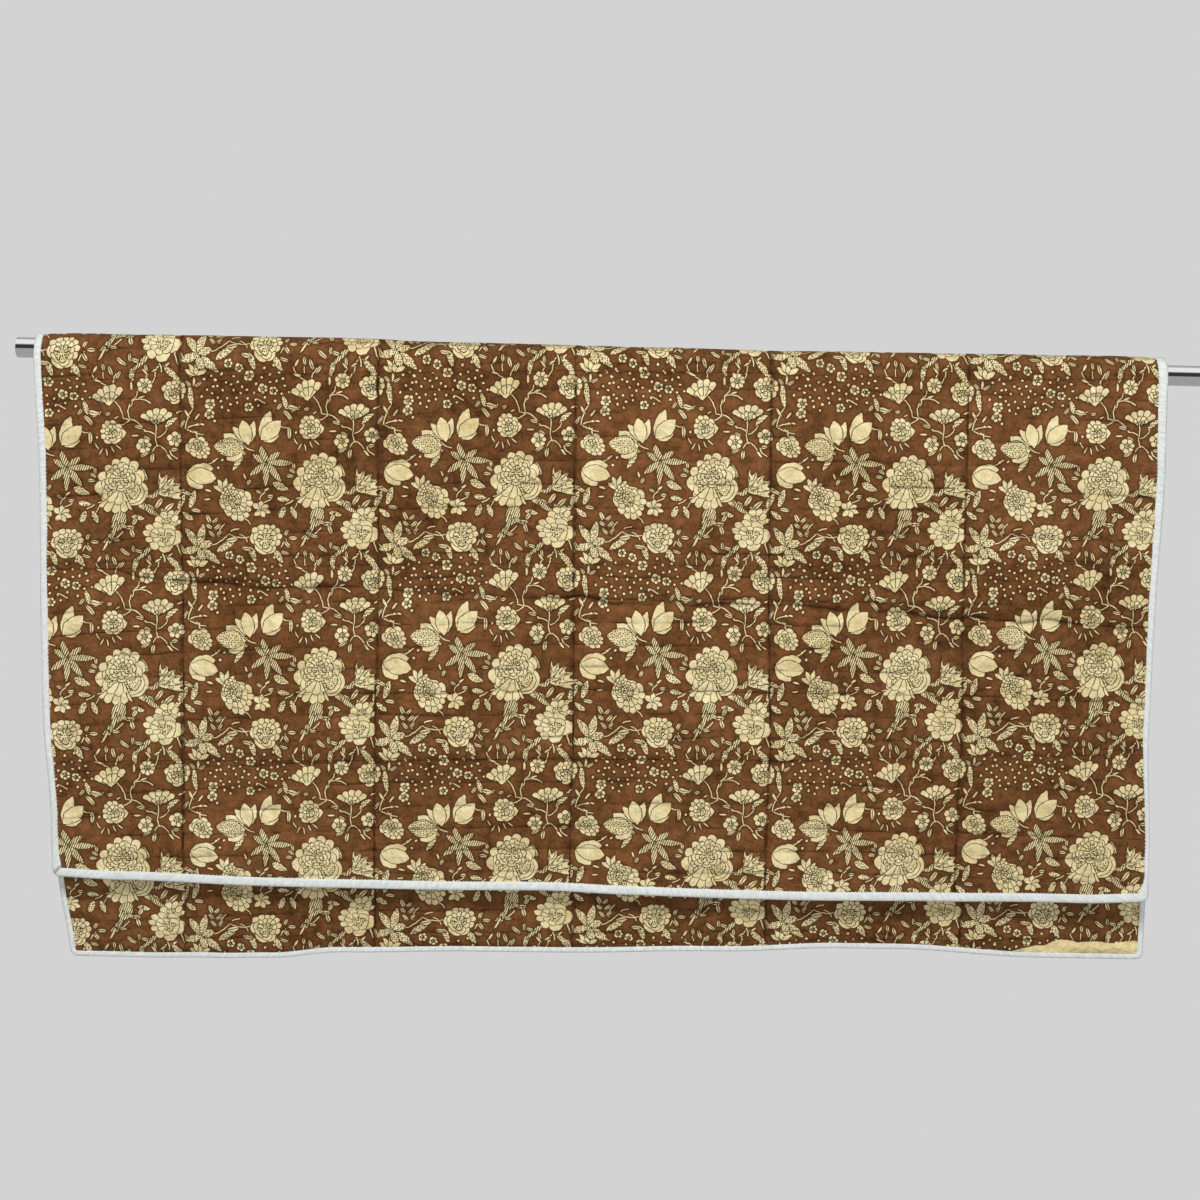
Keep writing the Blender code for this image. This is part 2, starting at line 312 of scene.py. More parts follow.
# Corners of the blocks on the outer face: (place along X past the quilt's left edge, drop) for
# each of three joints down the front flap. The printer set each block a little higher than the last.
OUTER_JOINTS = (
    ((-0.069, 0.044), (-0.070, 0.277), (-0.076, 0.520)),
    ((0.180, 0.030), (0.180, 0.265), (0.181, 0.509)),
    ((0.422, 0.020), (0.424, 0.257), (0.421, 0.503)),
    ((0.663, 0.013), (0.666, 0.249), (0.669, 0.496)),
    ((0.902, 0.010), (0.907, 0.247), (0.918, 0.493)),
    ((1.142, 0.010), (1.149, 0.238), (1.158, 0.480)),
    ((1.383, 0.006), (1.388, 0.233), (1.399, 0.472)),
)
# Joints on the reverse face, where it shows under the front hem: places along X, and the drop of
# the last row joint, below which the reverse is unprinted.
INNER_JOINTS = (-0.074, 0.176, 0.420, 0.674, 0.924, 1.173, 1.423)
INNER_END = ((0.000, 0.782), (0.150, 0.774), (0.700, 0.747), (1.080, 0.731), (1.330, 0.726))
UNPRINTED = (
    (0.000, 0.790), (0.700, 0.762), (1.150, 0.746), (1.235, 0.741), (1.270, 0.729), (1.387, 0.728),
)


def outer_print(across, along):
    """Block counts across and down on the outer face, with whole numbers at the joints."""
    place = surface(across, along)[..., 0] - ROD_LEFT_REACH
    drop = -along - ARCH_OFFSET - table_at(FOLD_LIFT, across)
    joints = np.array(OUTER_JOINTS)
    first, second, third = (line_at(joints[:, row, :], place) for row in range(3))
    above = (drop - first) / BLOCK_DROP
    upper = (drop - first) / (second - first)
    lower = 1.0 + (drop - second) / (third - second)
    below = 2.0 + (drop - third) / BLOCK_DROP
    down = np.where(drop < first, above, np.where(drop < second, upper, lower))
    down = np.where(drop > third, below, down)
    share = np.clip(down, 0.0, 2.0)
    row = np.minimum(share.astype(int), 1)
    share = share - row
    columns = [column[row, 0] * (1 - share) + column[row + 1, 0] * share for column in joints]
    over = np.zeros_like(place)
    for count, (left, right) in enumerate(zip(columns, columns[1:])):
        inside = (place - left) / (right - left)
        over = np.where((inside >= 0) | (count == 0), count + inside, over)
    return over, down


def inner_print(across, along):
    """The same on the reverse, where the blocks run down from the fold of the back flap."""
    place = surface(across, along)[..., 0] - ROD_LEFT_REACH
    drop = along - ARCH_OFFSET - table_at(FOLD_LIFT, across)
    over = line_at([(x, count) for count, x in enumerate(INNER_JOINTS)], place)
    return over, (drop - line_at(INNER_END, place)) / BLOCK_DROP


# ---- nodes
TO_NUMBER = ("DOT_PRODUCT", "DISTANCE")


def linear(code):
    """An sRGB hex colour as linear RGBA."""
    parts = [int(code[i : i + 2], 16) / 255 for i in (1, 3, 5)]
    return [p / 12.92 if p <= 0.04045 else ((p + 0.055) / 1.055) ** 2.4 for p in parts] + [1.0]


def result_of(node):
    """The output that holds a node's result, which isn't the first one on every node."""
    if getattr(node, "data_type", "") == "RGBA":
        return node.outputs[2]
    return node.outputs[1 if getattr(node, "operation", "") in TO_NUMBER else 0]


def add(tree, kind, inputs=(), **settings):
    """Adds one node with its settings, and fills its inputs from values, nodes or sockets."""
    node = tree.nodes.new(kind if kind.startswith("NodeGroup") else "ShaderNode" + kind)
    for name, value in settings.items():
        setattr(node, name, value)
    for key, value in inputs.items() if isinstance(inputs, dict) else enumerate(inputs):
        if isinstance(value, bpy.types.Node):
            value = result_of(value)
        if isinstance(value, bpy.types.NodeSocket):
            tree.links.new(value, node.inputs[key])
        elif value is not None:
            node.inputs[key].default_value = value
    return node


def new_material(name):
    """An empty material and its node tree."""
    material = bpy.data.materials.new(name)
    material.use_nodes = True
    material.node_tree.nodes.clear()
    return material, material.node_tree


def new_group(name, inputs, outputs):
    """An empty node group with a socket for each word."""
    group = bpy.data.node_groups.new(name, "ShaderNodeTree")
    for way, words in (("INPUT", inputs), ("OUTPUT", outputs)):
        for word in words:
            kind = SOCKET_KINDS.get(word, "NodeSocketFloat")
            group.interface.new_socket(word, in_out=way, socket_type=kind)
    return group


# ---- shapes that a printing block holds
# Each group keeps two distances in millimetres: "Fill", negative inside a straw coloured shape, and
# "Ink", small on a dark line. A new shape covers the lines of what was drawn before it, and has a
# dark outline only where it lies on an earlier shape.
# A step is (result, operation, first input, second input, third input).
OVERLAP = 0.5
# Veins and hatching stop this far inside the outline.
MARK_INSET = 0.7
# Below 1, petals are broad and the notches between them narrow.
PETAL_SHAPE = 0.6
# Lines between petals stop at this share of the ring's radius.
HUB_SHARE = 0.42
STEM_TIP = -4.0
PAINT = (
    ("fill", "MINIMUM", "Fill", "d"),
    ("hide", "MULTIPLY", "d", -1.0),
    ("under", "MAXIMUM", "Ink", "hide"),
    ("edge", "ABSOLUTE", "d"),
    ("over", "ADD", "Fill", OVERLAP),
    ("rim", "MAXIMUM", "edge", "over"),
    ("line", "MINIMUM", "under", "rim"),
)
# A place along the middle line of a leaf or stem, -1 to 1, and how far it is from that bent line.
SPINE = (
    ("t", "DOT_PRODUCT", "P", "Along"),
    ("y", "DOT_PRODUCT", "P", "Across"),
    ("tt", "MULTIPLY", "t", "t"),
    ("q", "SUBTRACT", 1.0, "tt"),
    ("bent", "MULTIPLY_ADD", "q", "Bend", "y"),
    ("mid", "ABSOLUTE", "bent"),
)
BLADE = (
    *SPINE,
    ("broad", "POWER", "q", "Point"),
    ("body", "MULTIPLY_ADD", "broad", "Width", "mid"),
    ("tip", "MULTIPLY", "q", "Length"),
    ("d", "MAXIMUM", "body", "tip"),
    *PAINT,
    ("inside", "ADD", "d", MARK_INSET),
    ("vein", "ADD", "mid", "Vein"),
    ("marks", "MINIMUM", "vein", "Mark"),
    ("kept", "MAXIMUM", "marks", "inside"),
    ("ink", "MINIMUM", "line", "kept"),
)
# Stems and buds have no outline of their own.
PLAIN = (
    ("fill", "MINIMUM", "Fill", "d"),
    ("ink", "ADD", "Ink", 0.0),
)
STEM = (
    *SPINE,
    ("body", "SUBTRACT", "mid", "Half"),
    ("tip", "MULTIPLY", "q", STEM_TIP),
    ("d", "MAXIMUM", "body", "tip"),
    *PLAIN,
)
DOT = (
    ("far", "DISTANCE", "P", "Centre"),
    ("d", "SUBTRACT", "far", "Radius"),
    *PLAIN,
)
# One ring of a flower. A # stands for the ring's number, "before" for the lines drawn so far, and
# "beneath" for the shape that the ring lies on.
RING = (
    ("x#", "ADD", "x", "Down#"),
    ("turn#", "ARCTAN2", "y", "x#"),
    ("rr#", "MULTIPLY_ADD", "x#", "x#", "yy"),
    ("r#", "SQRT", "rr#"),
    ("lag#", "SINE", "turn#"),
    ("bunched#", "MULTIPLY_ADD", "lag#", "Skew", "turn#"),
    ("angle#", "MULTIPLY_ADD", "bunched#", "Half#", "Phase#"),
    ("swing#", "COSINE", "angle#"),
    ("petal#", "ABSOLUTE", "swing#"),
    ("round#", "POWER", "petal#", PETAL_SHAPE),
    ("even#", "MULTIPLY_ADD", "round#", "Lobe#", "Radius#"),
    ("thrice#", "MULTIPLY_ADD", "turn#", 3.0, "Phase#"),
    ("bulge#", "SINE", "thrice#"),
    ("rim#", "MULTIPLY_ADD", "bulge#", "Sway", "even#"),
    ("whole#", "SUBTRACT", "r#", "rim#"),
    ("wide#", "ABSOLUTE", "turn#"),
    ("beyond#", "SUBTRACT", "wide#", "Spread"),
    ("side#", "MULTIPLY", "beyond#", "r#"),
    ("d#", "MAXIMUM", "whole#", "side#"),
    ("hide#", "MULTIPLY", "d#", -1.0),
    ("under#", "MAXIMUM", "before", "hide#"),
    ("edge#", "ABSOLUTE", "d#"),
    ("over#", "ADD", "beneath", OVERLAP),
    ("outline#", "MAXIMUM", "edge#", "over#"),
    ("line#", "MINIMUM", "under#", "outline#"),
    ("gap#", "MULTIPLY", "petal#", "r#"),
    ("lead#", "COSINE", "turn#"),
    ("pace#", "MULTIPLY_ADD", "lead#", "Skew", 1.0),
    ("crowd#", "MULTIPLY", "pace#", "Half#"),
    ("parting#", "DIVIDE", "gap#", "crowd#"),
    ("core#", "MULTIPLY", "Radius#", HUB_SHARE),
    ("hub#", "SUBTRACT", "core#", "r#"),
    ("outer#", "MAXIMUM", "parting#", "hub#"),
    ("within#", "MAXIMUM", "outer#", "d#"),
    ("ink#", "MINIMUM", "line#", "within#"),
)
SOCKET_KINDS = dict.fromkeys(("P", "Along", "Across", "Centre", "Normal"), "NodeSocketVector")
SOCKET_KINDS["Color"] = "NodeSocketColor"


def flower_steps(rings):
    """Steps for a flower with rings of petals, painted from the outside in.

    Its petals crowd together on one side by "Skew", "Sway" makes its outline uneven, each ring can
    sit further down the flower, and "Spread" limits them to a fan.
    """
    steps = [
        ("x", "DOT_PRODUCT", "P", "Along"),
        ("y", "DOT_PRODUCT", "P", "Across"),
        ("yy", "MULTIPLY", "y", "y"),
    ]
    known = {"before": "Ink", "beneath": "Fill"}
    for k in range(rings):
        for step in RING:
            steps.append([known.get(x, x.replace("#", str(k))) if isinstance(x, str) else x for x in step])
        known = {"before": f"ink{k}", "beneath": "d0"}
    return steps + [
        ("fill", "MINIMUM", "Fill", "d0"),
        ("kept", "MAXIMUM", "Mark", f"d{rings - 1}"),
        ("ink", "MINIMUM", known["before"], "kept"),
    ]


def make_group(name, steps):
    """Builds a node group from its steps. A name that no step makes is one of its inputs."""
    made = {step[0] for step in steps}
    words = [x for step in steps for x in step[2:] if isinstance(x, str) and x not in made]
    group = new_group(name, dict.fromkeys(words), ("fill", "ink"))
    start = add(group, "NodeGroupInput")
    sockets = {word: start.outputs[word] for word in words}
    for result, operation, *sources in steps:
        sources = [sockets[x] if isinstance(x, str) else x for x in sources]
        kind = "VectorMath" if operation in TO_NUMBER else "Math"
        sockets[result] = result_of(add(group, kind, sources, operation=operation))
    add(group, "NodeGroupOutput", (sockets["fill"], sockets["ink"]))
    return group


# ---- the carved block, in millimetres
# X runs right and Y down from the block's top left corner. Turns are in degrees, clockwise.
# Twigs and stems: (x, y) to (x, y), and how far the stem bends.
STEMS = (
    (161.5, 28, 172, 51, 2.5), (172, 51, 180, 53, 1.0), (180, 31.5, 180, 51, -2.0),
    (180, 51, 198, 68, 2.5), (198, 68, 209, 72, 1.0), (166, 59, 180, 52, -1.5), (189, 16, 182, 27, 2.5),
    (182, 27, 180, 36, 1.5), (205, 32, 183, 28, -3.0), (210, 56, 210.5, 73, 0.8),
    (210.5, 73, 213, 88, -1.5), (224, 60, 212, 76, 3.5), (17, 40, 7, 66, -2.5), (8, 66.5, 21, 70, -2.0),
    (21, 70, 26.5, 84, -3.0), (9, 65, 24, 62, 1.5), (16, 68, 29, 74, -2.5), (120, 61, 132, 67, -2.5),
    (76, 88, 90, 96, -1.5), (46, 104, 34, 112, 0.8), (190, 158, 218, 139, 1.0),
    (201, 210, 184, 226, -1.5), (235, 205, 240, 222, -2.0), (217, 218, 219, 230, 0.5),
    (137, 157, 127, 163, 0.5), (140, 155, 150, 152, -1.0), (142, 158, 135, 170, 1.5),
    (33.5, 210, 57, 196, -3.5), (57, 196, 84, 200, -3.5), (45.5, 201, 54, 184, 3.0),
    (60, 193, 70, 190, 0.0), (70, 197, 81, 207, 2.0), (88, 160, 113, 151, -4.0),
    (96, 157, 104, 146, 2.0), (156, 245, 137, 228, 3.5), (150, 236, 151, 226, 0.5),
    (160, 242, 166, 230, 0.8), (196, 242, 203, 231, 0.5), (206, 244, 213, 228, -0.8),
    (13, 238, 22, 219, 1.5), (206, 94, 213, 86, 1.0), (213, 86, 224, 98, 1.5),
    (170, 190, 150, 206, 2.0), (122, 214, 128, 204, 1.0), (70, 176, 84, 186, 2.5),
    (233, 148, 240, 160, 1.0), (226, 92, 236, 104, -1.5), (146, 40, 136, 46, 1.5),
    (92, 30, 104, 36, 1.0),
)
# Leaves and petals: x, y, turn, length, width, bend, point, mark. A point of 1 is sharp, 0.5 round.
# A row that stops at its width takes LEAF_REST for the others.
LEAF_REST = (0, 1, "vein")
LEAVES = (
    (182, 9, 95, 12, 3.3, 0, 1, "none"), (194, 24, -20, 10, 2.8, 0, 1, "none"),
    (228.5, 58, -38, 21, 6.2, 1.5, 1, "dots"), (243, 60, -55, 15, 3.8),
    (238, 44, -20, 10, 2.8, 0, 1, "none"), (190, 63, 15, 14, 3.8, 1, 1, "vein"),
    (185.5, 73, 8, 10, 2.8, 0, 1, "none"), (200, 77, 40, 12, 3.8),
    (154, 44, -10, 8, 3.8, 0, 0.7, "vein"), (164, 49, -25, 7, 2.1, 0, 1, "none"),
    (15, 26, 84, 30, 7.1, -1.5, 0.8, "dots"), (9, 47, 62, 13, 3.3, 0, 1, "none"),
    (21, 51, -50, 12, 2.8, 0, 1, "none"), (11, 9, 50, 12, 3.8), (18, 7, 92, 11, 3.3, 0, 1, "none"),
    (23, 10, -35, 12, 3.8), (27, 61, 10, 6, 2.4, 0, 0.6, "none"),
    (68.5, 107, 112, 28, 8.1, 2.5, 0.9, "dots"), (75, 98, 20, 13, 4.3),
    (132, 74, 86, 18, 5.2, 1, 1, "vein"), (208, 148, -30, 13, 5.7, 0, 0.7, "hatch"),
    (198, 162, 12, 20, 7.6, 0, 0.7, "dots"), (213, 158, -52, 17, 5.7), (225, 163, -42, 19, 5.2),
    (232, 171, -35, 18, 6.2, 0, 1, "dots"), (235, 182, -22, 13, 6.2, 0, 0.7, "dots"),
    (188, 174.5, 10, 17, 6.6, 0, 0.9, "dots"), (185, 231, 100, 18, 6.6, -1, 0.7, "dots"),
    (230, 233, 50, 30, 8.1, 1.5, 0.8, "dots"), (240, 214, 78, 16, 3.8, 1.5, 0.8, "vein"),
    (121, 140.5, 28, 21, 9, 0, 0.8, "dots"), (125, 156, 8, 16, 7.1, 0, 0.9, "dots"),
    (123, 172, 112, 17, 7.6, 0, 0.9, "dots"), (137, 172, 68, 17, 7.6, 0, 0.9, "dots"),
    (14, 154.5, -72, 24, 8.5, 0, 0.9, "dots"), (18, 168, 15, 15, 4.8),
    (8, 175, 38, 18, 7.1, 0, 0.9, "dots"), (240, 158, -65, 22, 7.6, 0, 0.9, "dots"),
    (33, 178, 60, 14, 4.8), (41, 180, -40, 12, 3.8), (34, 187, 40, 12, 4.3), (44, 188, -35, 12, 4.3),
    (37, 196, 45, 13, 4.3), (46, 196, -45, 11, 3.8), (54, 212, -32, 26, 8.5, 1, 0.8, "dots"),
    (62, 204, -10, 16, 5.7, 0, 0.9, "vein"), (86, 221, 70, 20, 7.6, 1, 0.9, "dots"),
    (80, 215, 20, 15, 4.8), (118, 224, 60, 22, 7.6, 0, 0.9, "dots"), (126, 220, 20, 14, 3.8),
    (128, 196, -70, 11, 4.3), (136, 203, 0, 13, 4.3), (129, 210, 55, 13, 4.3),
    (94.5, 147, 20, 9, 3.8, 0, 0.7, "vein"), (109, 152, -5, 9, 4.3, 0, 0.7, "vein"),
    (105, 144, -40, 8, 3.3, 0, 0.7, "none"), (83, 135, -50, 9, 3.8, 0, 0.7, "vein"),
    (78, 128, 70, 8, 2.8, 0, 0.7, "none"), (33.5, 144, 15, 10, 2.8, 0, 1, "none"),
    (32, 155, -5, 9, 2.8, 0, 1, "none"), (136, 122, 40, 12, 3.8), (133, 128, 5, 12, 3.8),
    (138, 116, 75, 10, 3.8), (141, 224, -60, 10, 3.3, 0, 1, "none"), (150.5, 222, 80, 12, 3.8),
    (159, 226, 72, 16, 4.3), (142, 238, 20, 13, 3.3, 0, 1, "none"), (168, 232, -62, 15, 3.8),
    (200, 229, 50, 12, 2.8, 0, 1, "none"), (213, 226, -55, 12, 2.8, 0, 1, "none"),
    (172, 216, 40, 17, 4.8), (182, 212, 80, 12, 3.8), (206, 102, 100, 14, 4.8), (197, 97, -35, 15, 4.3),
    (226, 101, 50, 12, 3.3, 0, 1, "none"), (232, 92, -8, 12, 3.8),
    (140, 85, 62, 10, 1.9, 0, 0.6, "none"), (145.5, 92, -65, 10, 1.9, 0, 0.6, "none"),
    (152, 93, 85, 11, 1.9, 0, 0.6, "none"), (159, 90, 65, 10, 1.9, 0, 0.6, "none"),
    (166, 87, 45, 9, 1.9, 0, 0.6, "none"), (128, 35, 75, 18, 6.2, 0, 0.9, "dots"),
    (138, 42, 10, 17, 5.7, 0, 0.9, "vein"), (121, 40, 120, 12, 3.8),
    (131, 51, 50, 17, 5.7, 0, 0.9, "vein"), (163, 176, 106, 34, 16.5, 3, 0.75, "hatch"),
    (154, 191, 122, 32, 7.0, 4, 0.8, "hatch"), (149, 206, 118, 20, 3.2, 1, 1, "none"),
    (160, 200, 10, 18, 3.8), (156, 197, 80, 15, 3.8), (205, 165, 42, 26, 6.6, -3, 0.8, "hatch"),
    (220, 176, 68, 26, 10.4, 3, 0.8, "hatch"), (178, 186, 0, 15, 4.8), (184, 179, -55, 13, 4.8),
    (181, 193, 78, 14, 4.8), (171, 184, 28, 12, 4.8), (196, 219, -40, 30, 6.6, 2, 0.8, "hatch"),
    (189, 215, 15, 12, 3.8), (201, 224, 75, 12, 3.8), (226, 221, -40, 9, 2.8, 0, 1, "none"),
    (211, 227, -30, 10, 2.8, 0, 1, "none"), (196, 122, 65, 20, 4.8), (246, 146, 30, 18, 4.8),
)
# Leaves and petals that spring from one place: that place, width, mark, then the end of each.
STARS = (
    ((105, 111), 8, "hatch", ((88, 101), (97, 90), (121, 98), (137, 112), (123, 136), (103, 141), (85, 126))),
    ((21, 212), 10, "dots", ((5, 188), (27, 183), (1, 219), (47, 233), (27, 232), (38, 206))),
    ((77, 93), 16, "none", ((53, 74), (56, 107))),
    ((78, 93), 23, "dots", ((41, 89),)),
    ((83, 87), 11, "none", ((64, 65), (90, 59))),
    ((83, 88), 16, "none", ((76, 57),)),
    ((98, 81), 14, "none", ((110, 46), (120, 77))),
    ((98, 82), 19, "none", ((123, 59),)),
    ((8, 122), 17, "none", ((40, 116), (27, 142))),
    ((8, 123), 20, "none", ((44, 130),)),
    ((20, 236), 6, "none", ((5, 229), (10, 222), (18, 226), (32, 229))),
    ((52, 146), 6, "none", ((40, 138), (46, 130), (56, 129), (64, 136))),
    ((97, 168), 7, "none", ((87, 160), (98, 157), (107, 163), (109, 172), (101, 178), (89, 176))),
)
# Flowers: (x, y), radius, squash, turn, skew, kind. A turn points from the base to the top.
FLOWERS = (
    ((156, 34), 26, 1.0, -100, 0.0, "fan"),
    ((198, 9), 9.5, 1.0, 10, 0.2, "eight"),
    ((233, 18), 15, 1.0, -60, 0.4, "pompon"),
    ((211, 60), 21, 1.15, -90, 0.0, "crown"),
    ((159, 68), 15.5, 0.95, -140, 0.4, "pompon"),
    ((196, 86), 9.6, 1.0, 0, 0.2, "six"),
    ((233, 79), 9.6, 1.0, 25, 0.2, "six"),
    ((22, 91), 16, 0.80, 30, 0.4, "pompon"),
    ((170, 134), 33, 0.95, -105, 0.70, "peony"),
    ((169, 136), 35, 1.0, 103, 0.3, "skirt"),
    ((168, 126), 18, 1.0, -110, 0.35, "heart"),
    ((212, 148), 34, 1.0, -36, 0.0, "lotus"),
    ((222, 180), 15, 0.9, -60, 0.3, "six"),
    ((217, 198), 24, 0.78, -165, 0.5, "rosette"),
    ((68, 161), 21, 0.95, 50, 0.6, "dahlia"),
    ((60, 152), 13, 0.95, -120, 0.2, "heart"),
    ((103, 203), 19.5, 1.0, -60, 0.5, "brick"),
    ((58, 222.5), 5.6, 1.0, 0, 0.3, "five"),
    ((71, 227.5), 5.6, 1.0, 20, 0.3, "five"),
    ((84, 1), 6.5, 1.0, 0, 0.3, "five"),
    ((101, 17), 6.2, 1.0, 30, 0.3, "five"),
    ((114, 20), 5.4, 1.0, 0, 0.3, "five"),
    ((37, 35), 6.8, 1.0, 10, 0.3, "five"),
    ((36, 48), 6.6, 1.0, 40, 0.3, "five"),
    ((84, 40), 5.8, 1.0, 0, 0.3, "five"),
)
# Rings of each kind of flower: share of the radius, petals, lobe's share, phase, shift to its base.
# A lobe below 0 gives pointed petals.
FLOWER_KINDS = {
    "five": ((1.0, 5, 0.34, 0.0, 0.0), (0.40, 5, 0.0, 0.0, 0.0)),
    "six": ((1.0, 6, 0.32, 0.3, 0.0), (0.36, 6, 0.1, 0.0, 0.0)),
    "eight": ((1.0, 8, 0.26, 0.0, 0.0), (0.36, 6, 0.1, 0.0, 0.0)),
    "fan": ((1.0, 17, 0.16, 0.0, 0.0), (0.62, 13, 0.10, 0.4, 0.0)),
    "crown": ((1.0, 15, 0.18, 0.0, 0.0), (0.62, 13, 0.2, 0.8, 0.05), (0.36, 11, 0.2, 0.3, 0.05)),
    "skirt": ((1.0, 15, 0.14, 0.0, 0.0), (0.66, 9, 0.2, 0.4, 0.0)),
    "lotus": ((1.0, 18, -0.30, 0.1, 0.0), (0.72, 14, -0.34, 0.9, 0.0), (0.44, 10, -0.3, 0.3, 0.0)),
    "pompon": ((1.0, 9, 0.18, 0.2, 0.0), (0.70, 8, 0.20, 0.6, 0.08), (0.42, 7, 0.2, 0.1, 0.12)),
    "dahlia": ((1.0, 9, 0.18, 0.0, 0.0), (0.74, 8, 0.19, 0.7, 0.10), (0.44, 8, 0.2, 0.2, 0.2)),
    "rosette": ((1.0, 8, 0.24, 0.3, 0.0), (0.66, 7, 0.22, 0.7, 0.05), (0.34, 5, 0.2, 0.2, 0.1)),
    "brick": ((1.0, 10, 0.17, 0.0, 0.0), (0.76, 9, 0.16, 0.5, 0.06), (0.50, 7, 0.16, 0.2, 0.12)),
    "peony": ((1.0, 9, 0.20, 0.1, 0.0), (0.82, 8, 0.20, 0.9, 0.03), (0.66, 7, 0.2, 0.3, 0.08)),
    "heart": ((1.0, 11, 0.18, 0.4, 0.0), (0.76, 11, 0.2, 0.0, 0.06), (0.50, 8, 0.25, 0.3, 0.12)),
}
# Flowers seen from the side spread to this angle each way, in radians.
FANS = {"fan": 0.92, "crown": 1.05, "lotus": 0.90, "skirt": 0.63}
# Round buds: x, y.
BUDS = (
    (41, 13), (46.5, 13), (63, 11), (33.5, 17), (52, 18), (66, 18.5), (40, 22), (46.5, 27),
    (58, 28), (69, 28), (82.5, 29), (82, 18), (92, 31), (51.5, 39), (62, 36), (59, 43.5),
    (100.5, 3), (109, 0), (120, -1), (126, 5), (110, 9), (118, 8), (93, 11), (38, 0), (51, -2),
    (71, 8), (116, 33), (21, 61), (42, 57), (41, 108), (51, 107), (46, 116), (66, 1), (76, 14),
    (50, 32), (70, 34), (91, 22), (104, 28), (74, 22), (96, 38), (128, 14), (133, 22), (30, 4),
    (57, 8), (44, 5), (27, 25), (102, -8), (113, -10), (90, -8), (124, 24), (148, 62), (141, 74),
)
BUD_RADIUS = 1.7
STEM_HALF = 0.84
# A flower with a larger radius than this has an uneven outline, by this share of the radius.
SMALL_FLOWER = 12.0
SWAY = 0.065
# Far from everything drawn, in millimetres.
NOTHING = 50.0
# The carver set the middle of the block a little high.
MIDDLE_RISE = 3.4


def placed(x, y, turn, long_unit=1.0, wide_unit=1.0):
    """The two constant vectors that read a place along and across a motif from P = (X, Y, 1)."""
    c, s = cos(radians(turn)), sin(radians(turn))
    along = Vector((c, s, -(c * x + s * y))) / long_unit
    across = Vector((-s, c, s * x - c * y)) / wide_unit
    return along, across


def blade_inputs(x, y, turn, length, width, bend_by, point, mark):
    """Inputs of a leaf's or petal's group."""
    along, across = placed(x, y, turn, length / 2)
    return {
        "Along": along,
        "Across": across,
        "Bend": bend_by,
        "Point": point,
        "Width": -width / 2,
        "Length": -length / 4,
        "Vein": 0.0 if mark == "vein" else NOTHING,
    }


def stem_inputs(x, y, turn, length, bend_by):
    """Inputs of a stem's group."""
    along, across = placed(x, y, turn, length / 2)
    return {"Along": along, "Across": across, "Bend": bend_by, "Half": STEM_HALF}


def bud_inputs(x, y):
    """Inputs of a bud's group."""
    return {"Centre": (x, y, 1.0), "Radius": BUD_RADIUS}


def flower_inputs(x, y, radius, squash, turn, skew, kind):
    """Inputs of a flower's group, ring by ring."""
    along, across = placed(x, y, turn, 1.0, squash)
    values = {"Along": along, "Across": across, "Skew": skew, "Spread": FANS.get(kind, 2 * pi)}
    values["Sway"] = SWAY * radius if radius > SMALL_FLOWER else 0.0
    for k, (share, petals, lobe, phase, down) in enumerate(FLOWER_KINDS[kind]):
        values[f"Half{k}"] = petals / 2
        values[f"Phase{k}"] = phase
        values[f"Lobe{k}"] = radius * share * lobe
        values[f"Radius{k}"] = radius * share * (1.0 - max(lobe, 0.0))
        values[f"Down{k}"] = radius * down
    return values


def between(start, end):
    """Middle, turn and length of a stem or leaf from one place to another."""
    (ax, ay), (bx, by) = start, end
    turn = degrees(atan2(by - ay, bx - ax))
    return (ax + bx) / 2, (ay + by) / 2, turn, hypot(bx - ax, by - ay)


def all_motifs():
    """Every motif of the block, back to front: shape, x, y, reach, rest of its row, mark."""
    motifs = []
    for ax, ay, bx, by, bend_by in STEMS:
        x, y, turn, length = between((ax, ay), (bx, by))
        motifs.append(("stem", x, y, length / 2 + abs(bend_by), (turn, length, bend_by), "none"))
    blades = [row if len(row) > 5 else (*row, *LEAF_REST) for row in LEAVES]
    for centre, width, mark, ends in STARS:
        blades += [(*between(centre, end), width, 0, 0.9, mark) for end in ends]
    for x, y, turn, length, width, bend_by, point, mark in blades:
        reach = length / 2 + abs(bend_by) + width / 2
        motifs.append(("blade", x, y, reach, (turn, length, width, bend_by, point, mark), mark))
    motifs += [("dot", x, y, BUD_RADIUS, (), "none") for x, y in BUDS]
    for (x, y), *row in FLOWERS:
        rings = len(FLOWER_KINDS[row[-1]])
        motifs.append((f"flower{rings}", x, y, row[0] * 1.1, row, "dots" if rings == 3 else "none"))
    return [(m[0], m[1], m[2] - MIDDLE_RISE * sin(pi * m[2] / BLOCK_TALL) ** 2, *m[3:]) for m in motifs]


# The block is drawn in patches, and each has its own material.
PATCHES = 5
PATCH_WIDE = BLOCK_WIDE / PATCHES
PATCH_TALL = BLOCK_TALL / PATCHES
PATCH_MARGIN = 6.0
# How far a stamped line wanders, over what size, and how finely.
WOBBLE = 1.25
WOBBLE_SIZE = 8.0
WOBBLE_DETAIL = 2.5
HATCH_PITCH = 2.6
HATCH_WAY = (0.94, 0.35)
STIPPLE_PITCH = 2.6
STIPPLE_HALF = 0.26
STIPPLE_SCATTER = 0.7


